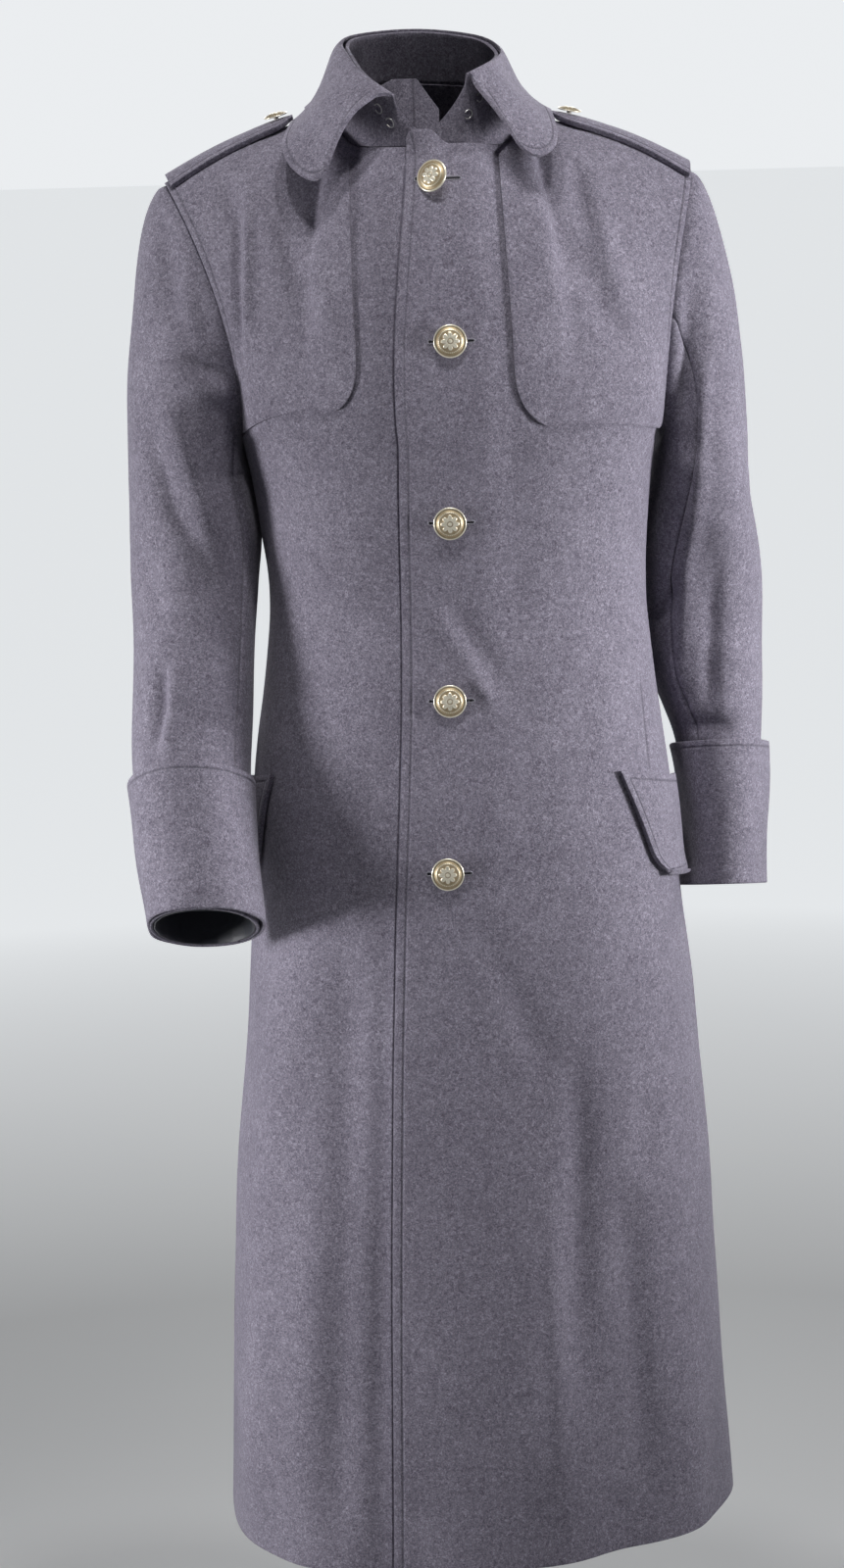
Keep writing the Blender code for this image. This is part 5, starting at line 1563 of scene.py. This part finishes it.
# Radius and height from the dome's edge over the rim to the foot of the shank.
BUTTON_SECTION = (
    (0.0086, 0.0054), (0.009, 0.0052), (0.0095, 0.0049), (0.0104, 0.0044), (0.011, 0.004), (0.0114, 0.0041),
    (0.0121, 0.0044), (0.0127, 0.004), (0.0127, 0.0033), (0.012, 0.0027), (0.004, 0.0022), (0.0024, 0.0017),
    (0.0024, 0.0), (0.0, 0.0))
PATTERN_RADIUS = 0.0099
PATTERN_FOOT = 0.0046
PATTERN_HEIGHT = 0.00042
PATTERN_SINK = 0.00012
RIM_RADIUS = 0.0118
RIM_FOOT = 0.003
RIM_SHINE = 0.9
HOLLOW_SHINE = 0.1
SHANK_FOOT = 0.0002
BOSS_RADIUS = 0.0016
PETAL_FOOT = 0.002
PETAL_NOTCH = 0.004
PETAL_REACH = 0.0034
RING_RADIUS = 0.0088
RING_WIDTH = 0.0005
DOME_RINGS = 26
SPIN_STEPS = 96
PETALS = 8
BEADS = 40
TOP_TURN = math.radians(-32.0)
TOP_SHANK = 0.0032


def rosette(radius, turn):
    """The raised pattern at a place of the dome, from 0 in its hollows to 1 on its crests."""
    boss = math.exp(-((radius / BOSS_RADIUS) ** 4))
    petal = abs(math.cos(PETALS / 2.0 * turn)) ** 0.7
    tip = PETAL_NOTCH + PETAL_REACH * petal
    inner = smooth((radius - PETAL_FOOT) / 0.0008) * smooth((tip - radius) / 0.0007)
    vein = 1.0 - 0.45 * math.exp(-((math.sin(PETALS / 2.0 * turn) / 0.16) ** 2))
    ring = math.exp(-(((radius - RING_RADIUS) / RING_WIDTH) ** 2))
    beads = 0.55 + 0.45 * math.cos(turn * BEADS)
    return float(max(boss, inner * vein, ring * beads))


def strike(co, shank):
    """Pushes a point of the button into the pattern, or its shank back, and says how high it stands."""
    reach = math.hypot(co.x, co.y)
    height = RIM_SHINE
    if co.z > PATTERN_FOOT and reach < PATTERN_RADIUS:
        height = rosette(reach, math.atan2(co.y, co.x))
        co.z += PATTERN_HEIGHT * height - PATTERN_SINK
    elif reach < RIM_RADIUS and co.z > RIM_FOOT:
        height = HOLLOW_SHINE
    if co.z < SHANK_FOOT:
        co.z -= shank
    return height, 0.0, 1.0


def make_button(name, seat, out, radius, shank=0.0):
    radii = [DOME_RADIUS * k / DOME_RINGS for k in range(DOME_RINGS + 1)]
    rings = [(r, DOME_TOP - DOME_DROP * (r / DOME_RADIUS) ** 2) for r in radii] + list(BUTTON_SECTION)
    turned = bmesh.new()
    profile = [turned.verts.new((r, 0.0, z)) for r, z in rings]
    edges = [turned.edges.new(pair) for pair in zip(profile, profile[1:])]
    bmesh.ops.spin(turned, geom=profile + edges, axis=(0.0, 0.0, 1.0), cent=(0.0, 0.0, 0.0),
                   angle=2.0 * math.pi, steps=SPIN_STEPS, use_merge=True)
    bmesh.ops.remove_doubles(turned, verts=turned.verts, dist=0.000002)
    bmesh.ops.recalc_face_normals(turned, faces=turned.faces)
    heights = [strike(vertex.co, shank) for vertex in turned.verts]
    turn = Vector(out).to_track_quat("Z", "Y").to_matrix().to_4x4()
    turned.transform(Matrix.Translation(seat) @ turn @ Matrix.Scale(radius / BUTTON_RADIUS, 4))
    mesh = into_mesh(turned, bpy.data.meshes.new(name))
    set_vectors(mesh, "relief", np.array(heights))
    mesh.shade_smooth()
    link(name, mesh, GILT)


print("petals:", PETALS, "rings of the dome:", DOME_RINGS)

# %% Sewing the buttons on
front_mesh = PIECES["coat_front_left"].data
front_tree = BVHTree.FromPolygons([vertex.co for vertex in front_mesh.vertices],
                                  [polygon.vertices for polygon in front_mesh.polygons])


def on_left_front(x, z):
    """The place on the left front that is seen from straight ahead at x and z, and how it faces."""
    place, normal, _, _ = front_tree.ray_cast(Vector((x, -1.0, z)), Vector((0.0, 1.0, 0.0)))
    return place, normal if normal.y < 0.0 else -normal


for number, (x, z) in enumerate(BUTTON_PLACES, start=1):
    place, out = on_left_front(x, z)
    upright = Vector((out.x, out.y, out.z * BUTTON_UPRIGHT)).normalized()
    shank, turn = (TOP_SHANK, TOP_TURN) if number == 1 else (0.0, 0.0)
    facing = Matrix.Rotation(turn, 3, "Z") @ upright
    seat = place + upright * (BUTTON_SEAT + SEAM_GAP) + facing * shank
    make_button(f"front_button_{number}", seat, facing, BUTTON_RADIUS, shank)
for side, (seat, out) in STRAP_SEATS.items():
    up = Vector(out)
    make_button(f"small_button_{side}", Vector(seat) + up * SEAM_GAP, up, STRAP_BUTTON_RADIUS)
print("front buttons:", len(BUTTON_PLACES))

# %% [markdown]
# ## Buttonholes
# Each buttonhole is a slit worked round with close stitches: a round eye near the edge, where the shank
# sits, and a bar at the other end. The button hides its middle. The worked edge is a thin tube that
# follows the slit, and lumps along it stand for the stitches.

# The opening of each slit is a thin near-black sheet laid on the cloth: painted shade.
# %% The buttonholes
HOLE_BACK = 0.0166
HOLE_AHEAD = 0.019
EYE_RADIUS = 0.0023
SLIT_HALF = 0.0013
PURL = 0.00055
PURL_POINTS = 150
PURL_SIDES = 8
PURL_LUMP = 0.22
PURL_HEIGHT = 0.7
PURL_LIFT = 0.00035
EYE_SPAN = 0.09
SLIT_BLUNT = 2.4
SLIT_LIFT = 0.00018
SLIT_CLOTH = 0.0003
SLIT_POINTS = 40


def half_slit(share):
    """Half the slit's width. The share is -1 at the eye."""
    return SLIT_HALF + (EYE_RADIUS - SLIT_HALF) * math.exp(-(((share + 1.0) / EYE_SPAN) ** 2))


def hole_outline(part):
    """A place on the outline of the slit, with a round eye at its left end."""
    turn = 2.0 * math.pi * part
    x = math.cos(turn)
    across = math.copysign(min(1.0, abs(math.sin(turn)) * SLIT_BLUNT), math.sin(turn)) * half_slit(x)
    return (HOLE_AHEAD if x > 0.0 else HOLE_BACK) * x, across


def lay_on_front(x, z, lift):
    place, out = on_left_front(x, z)
    return np.array(place + out * lift), np.array(out)


def purl_ring(path, out, here):
    """A ring of the worked edge, with a lump on every other one."""
    ahead = unit(path[(here + 1) % PURL_POINTS] - path[here - 1])
    beside = unit(np.cross(ahead, out[here]))
    bulge = PURL * (1.0 + PURL_LUMP * math.cos(here * math.pi))
    turns = [2.0 * math.pi * side / PURL_SIDES for side in range(PURL_SIDES + 1)]
    return [path[here] + (beside * math.cos(turn) + out[here] * math.sin(turn) * PURL_HEIGHT) * bulge
            for turn in turns]


def make_buttonhole(number, x, z):
    outline = [hole_outline(k / PURL_POINTS) for k in range(PURL_POINTS)]
    path, out = zip(*(lay_on_front(x + dx, z + dz, PURL_LIFT) for dx, dz in outline))
    rows = [purl_ring(path, out, k % PURL_POINTS) for k in range(PURL_POINTS + 1)]
    worked = grid_mesh(f"buttonhole_{number}", np.array(rows))
    close_ring(worked, outward=True)
    link(f"buttonhole_{number}", worked, SILK)
    # A thin near-black sheet over the slit is painted shade in the opening.
    spots = np.linspace(-HOLE_BACK, HOLE_AHEAD, SLIT_POINTS)
    lines = [[lay_on_front(x + dx, z + side * half_slit(dx / HOLE_BACK), SLIT_LIFT)[0] for dx in spots]
             for side in (-1.0, 1.0)]
    piece = link(f"slit_{number}", grid_mesh(f"slit_{number}", np.array(lines)), SLIT_PAINTED_SHADE)
    modify(piece, "Thickness", "SOLIDIFY", thickness=SLIT_CLOTH, offset=-1.0)


for number, (x, z) in enumerate(BUTTON_PLACES, start=1):
    make_buttonhole(number, x, z)
print("worked buttonholes:", len(BUTTON_PLACES))

# %% [markdown]
# ## Hooks and eyes
# Small wire hooks and eyes fasten the collar when it is turned up. Each is a bent wire, so a curve with
# a round section makes it, and it is turned into a mesh at once.

# %% The wires
WIRE = 0.0005
HOOK_SIZE = 0.0034
HOOK_OPENING = 300.0
HOOK_ANGLE_STEP = 2.0
HOOK_HEIGHT_STEP = 0.1
HOOK_PLACES = (
    ("hook_stand_right", 332.0, 0.6), ("eye_stand_right", 338.5, 0.42),
    ("hook_stand_left", 30.0, 0.62), ("eye_stand_left", 21.0, 0.42),
)
WIRE_POINTS = 40


def make_wire(name, points):
    curve = bpy.data.curves.new(name, "CURVE")
    curve.dimensions = "3D"
    curve.bevel_depth = WIRE
    curve.bevel_resolution = 3
    curve.use_fill_caps = True
    spline = curve.splines.new("POLY")
    spline.points.add(len(points) - 1)
    for target, point in zip(spline.points, points):
        target.co = (*point, 1.0)
    draft = place_object(name + "_draft", curve)
    mesh = bpy.data.meshes.new_from_object(draft.evaluated_get(bpy.context.evaluated_depsgraph_get()))
    bpy.data.objects.remove(draft, do_unlink=True)
    mesh.materials.clear()
    mesh.shade_smooth()
    link(name, mesh, STEEL)


for name, angle, height in HOOK_PLACES:
    seat = stand_point(angle, height)
    beside = unit(stand_point(angle + HOOK_ANGLE_STEP, height) - seat)
    up = unit(stand_point(angle, height + HOOK_HEIGHT_STEP) - seat)
    centre = seat + np.cross(beside, up) * (WIRE + SEAM_GAP)
    turns = np.radians(HOOK_OPENING * (np.arange(WIRE_POINTS) / (WIRE_POINTS - 1) - 0.5))
    bend = [centre + (beside * math.cos(turn) + up * math.sin(turn)) * HOOK_SIZE for turn in turns]
    make_wire("wire_" + name, bend)
print("wires:", [row[0] for row in HOOK_PLACES])

# %% [markdown]
# ## Each piece and its solid
# Every piece rides on the coat's one body, and the plain solid that it stands for is hidden.

# %% What each piece stands for
# Piece, solid, how it is held, and what it rests on. A star stands for the side.
SHEETS = (
    ("collar_band", "collar_stand", "gathered", "coat_front_left", "coat_front_right"),
    ("collar_leaf", "collar_fall", "folded", "collar_band"),
    ("throat_piece", "throat_tab", "hung", "coat_front_right"),
    ("cuff_lining", "cuff_lining_right", "folded", "sleeve_top_right"),
)
SIDED_SHEETS = (
    ("coat_front_*", "front_*", "hung"),
    ("coat_back_*", "back_*", "hung"),
    ("chest_yoke_*", "yoke_*", "hung", "coat_front_*"),
    ("sleeve_top_*", "top_sleeve_*", "hung"),
    ("sleeve_under_*", "under_sleeve_*", "hung"),
    ("turned_cuff_*", "cuff_*", "folded", "sleeve_top_*"),
    ("shoulder_strap_*", "strap_*", "laid", "chest_yoke_*"),
    ("flap_*", "pocket_flap_*", "hung", "coat_front_*"),
)
for side in SIDE_SIGN:
    SHEETS += tuple([word.replace("*", side) for word in row] for row in SIDED_SHEETS)
print("sheets of cloth:", len(SHEETS))

# %% Riding and replacing
def stand_for(piece, node, slot):
    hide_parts(node)


numbers = range(1, len(BUTTON_PLACES) + 1)
holes = [PIECES[f"{kind}_{number}"] for number in numbers for kind in ("buttonhole", "slit")]
for piece in PIECES.values():
    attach(piece, "root")
for name, node, held, *rests_on in SHEETS:
    stand_for(name, node, "sleeve_lining" if name == "cuff_lining" else "grey_melton")
    holes if name == "coat_front_left" else ()
for number in numbers:
    stand_for(f"front_button_{number}", f"button_{number}", "button_metal")
for side in SIDE_SIGN:
    stand_for(f"small_button_{side}", f"strap_button_{side}", "button_metal")
for name, _, _ in HOOK_PLACES:
    stand_for("wire_" + name, name, "hook_wire")
print("pieces:", len(PIECES))
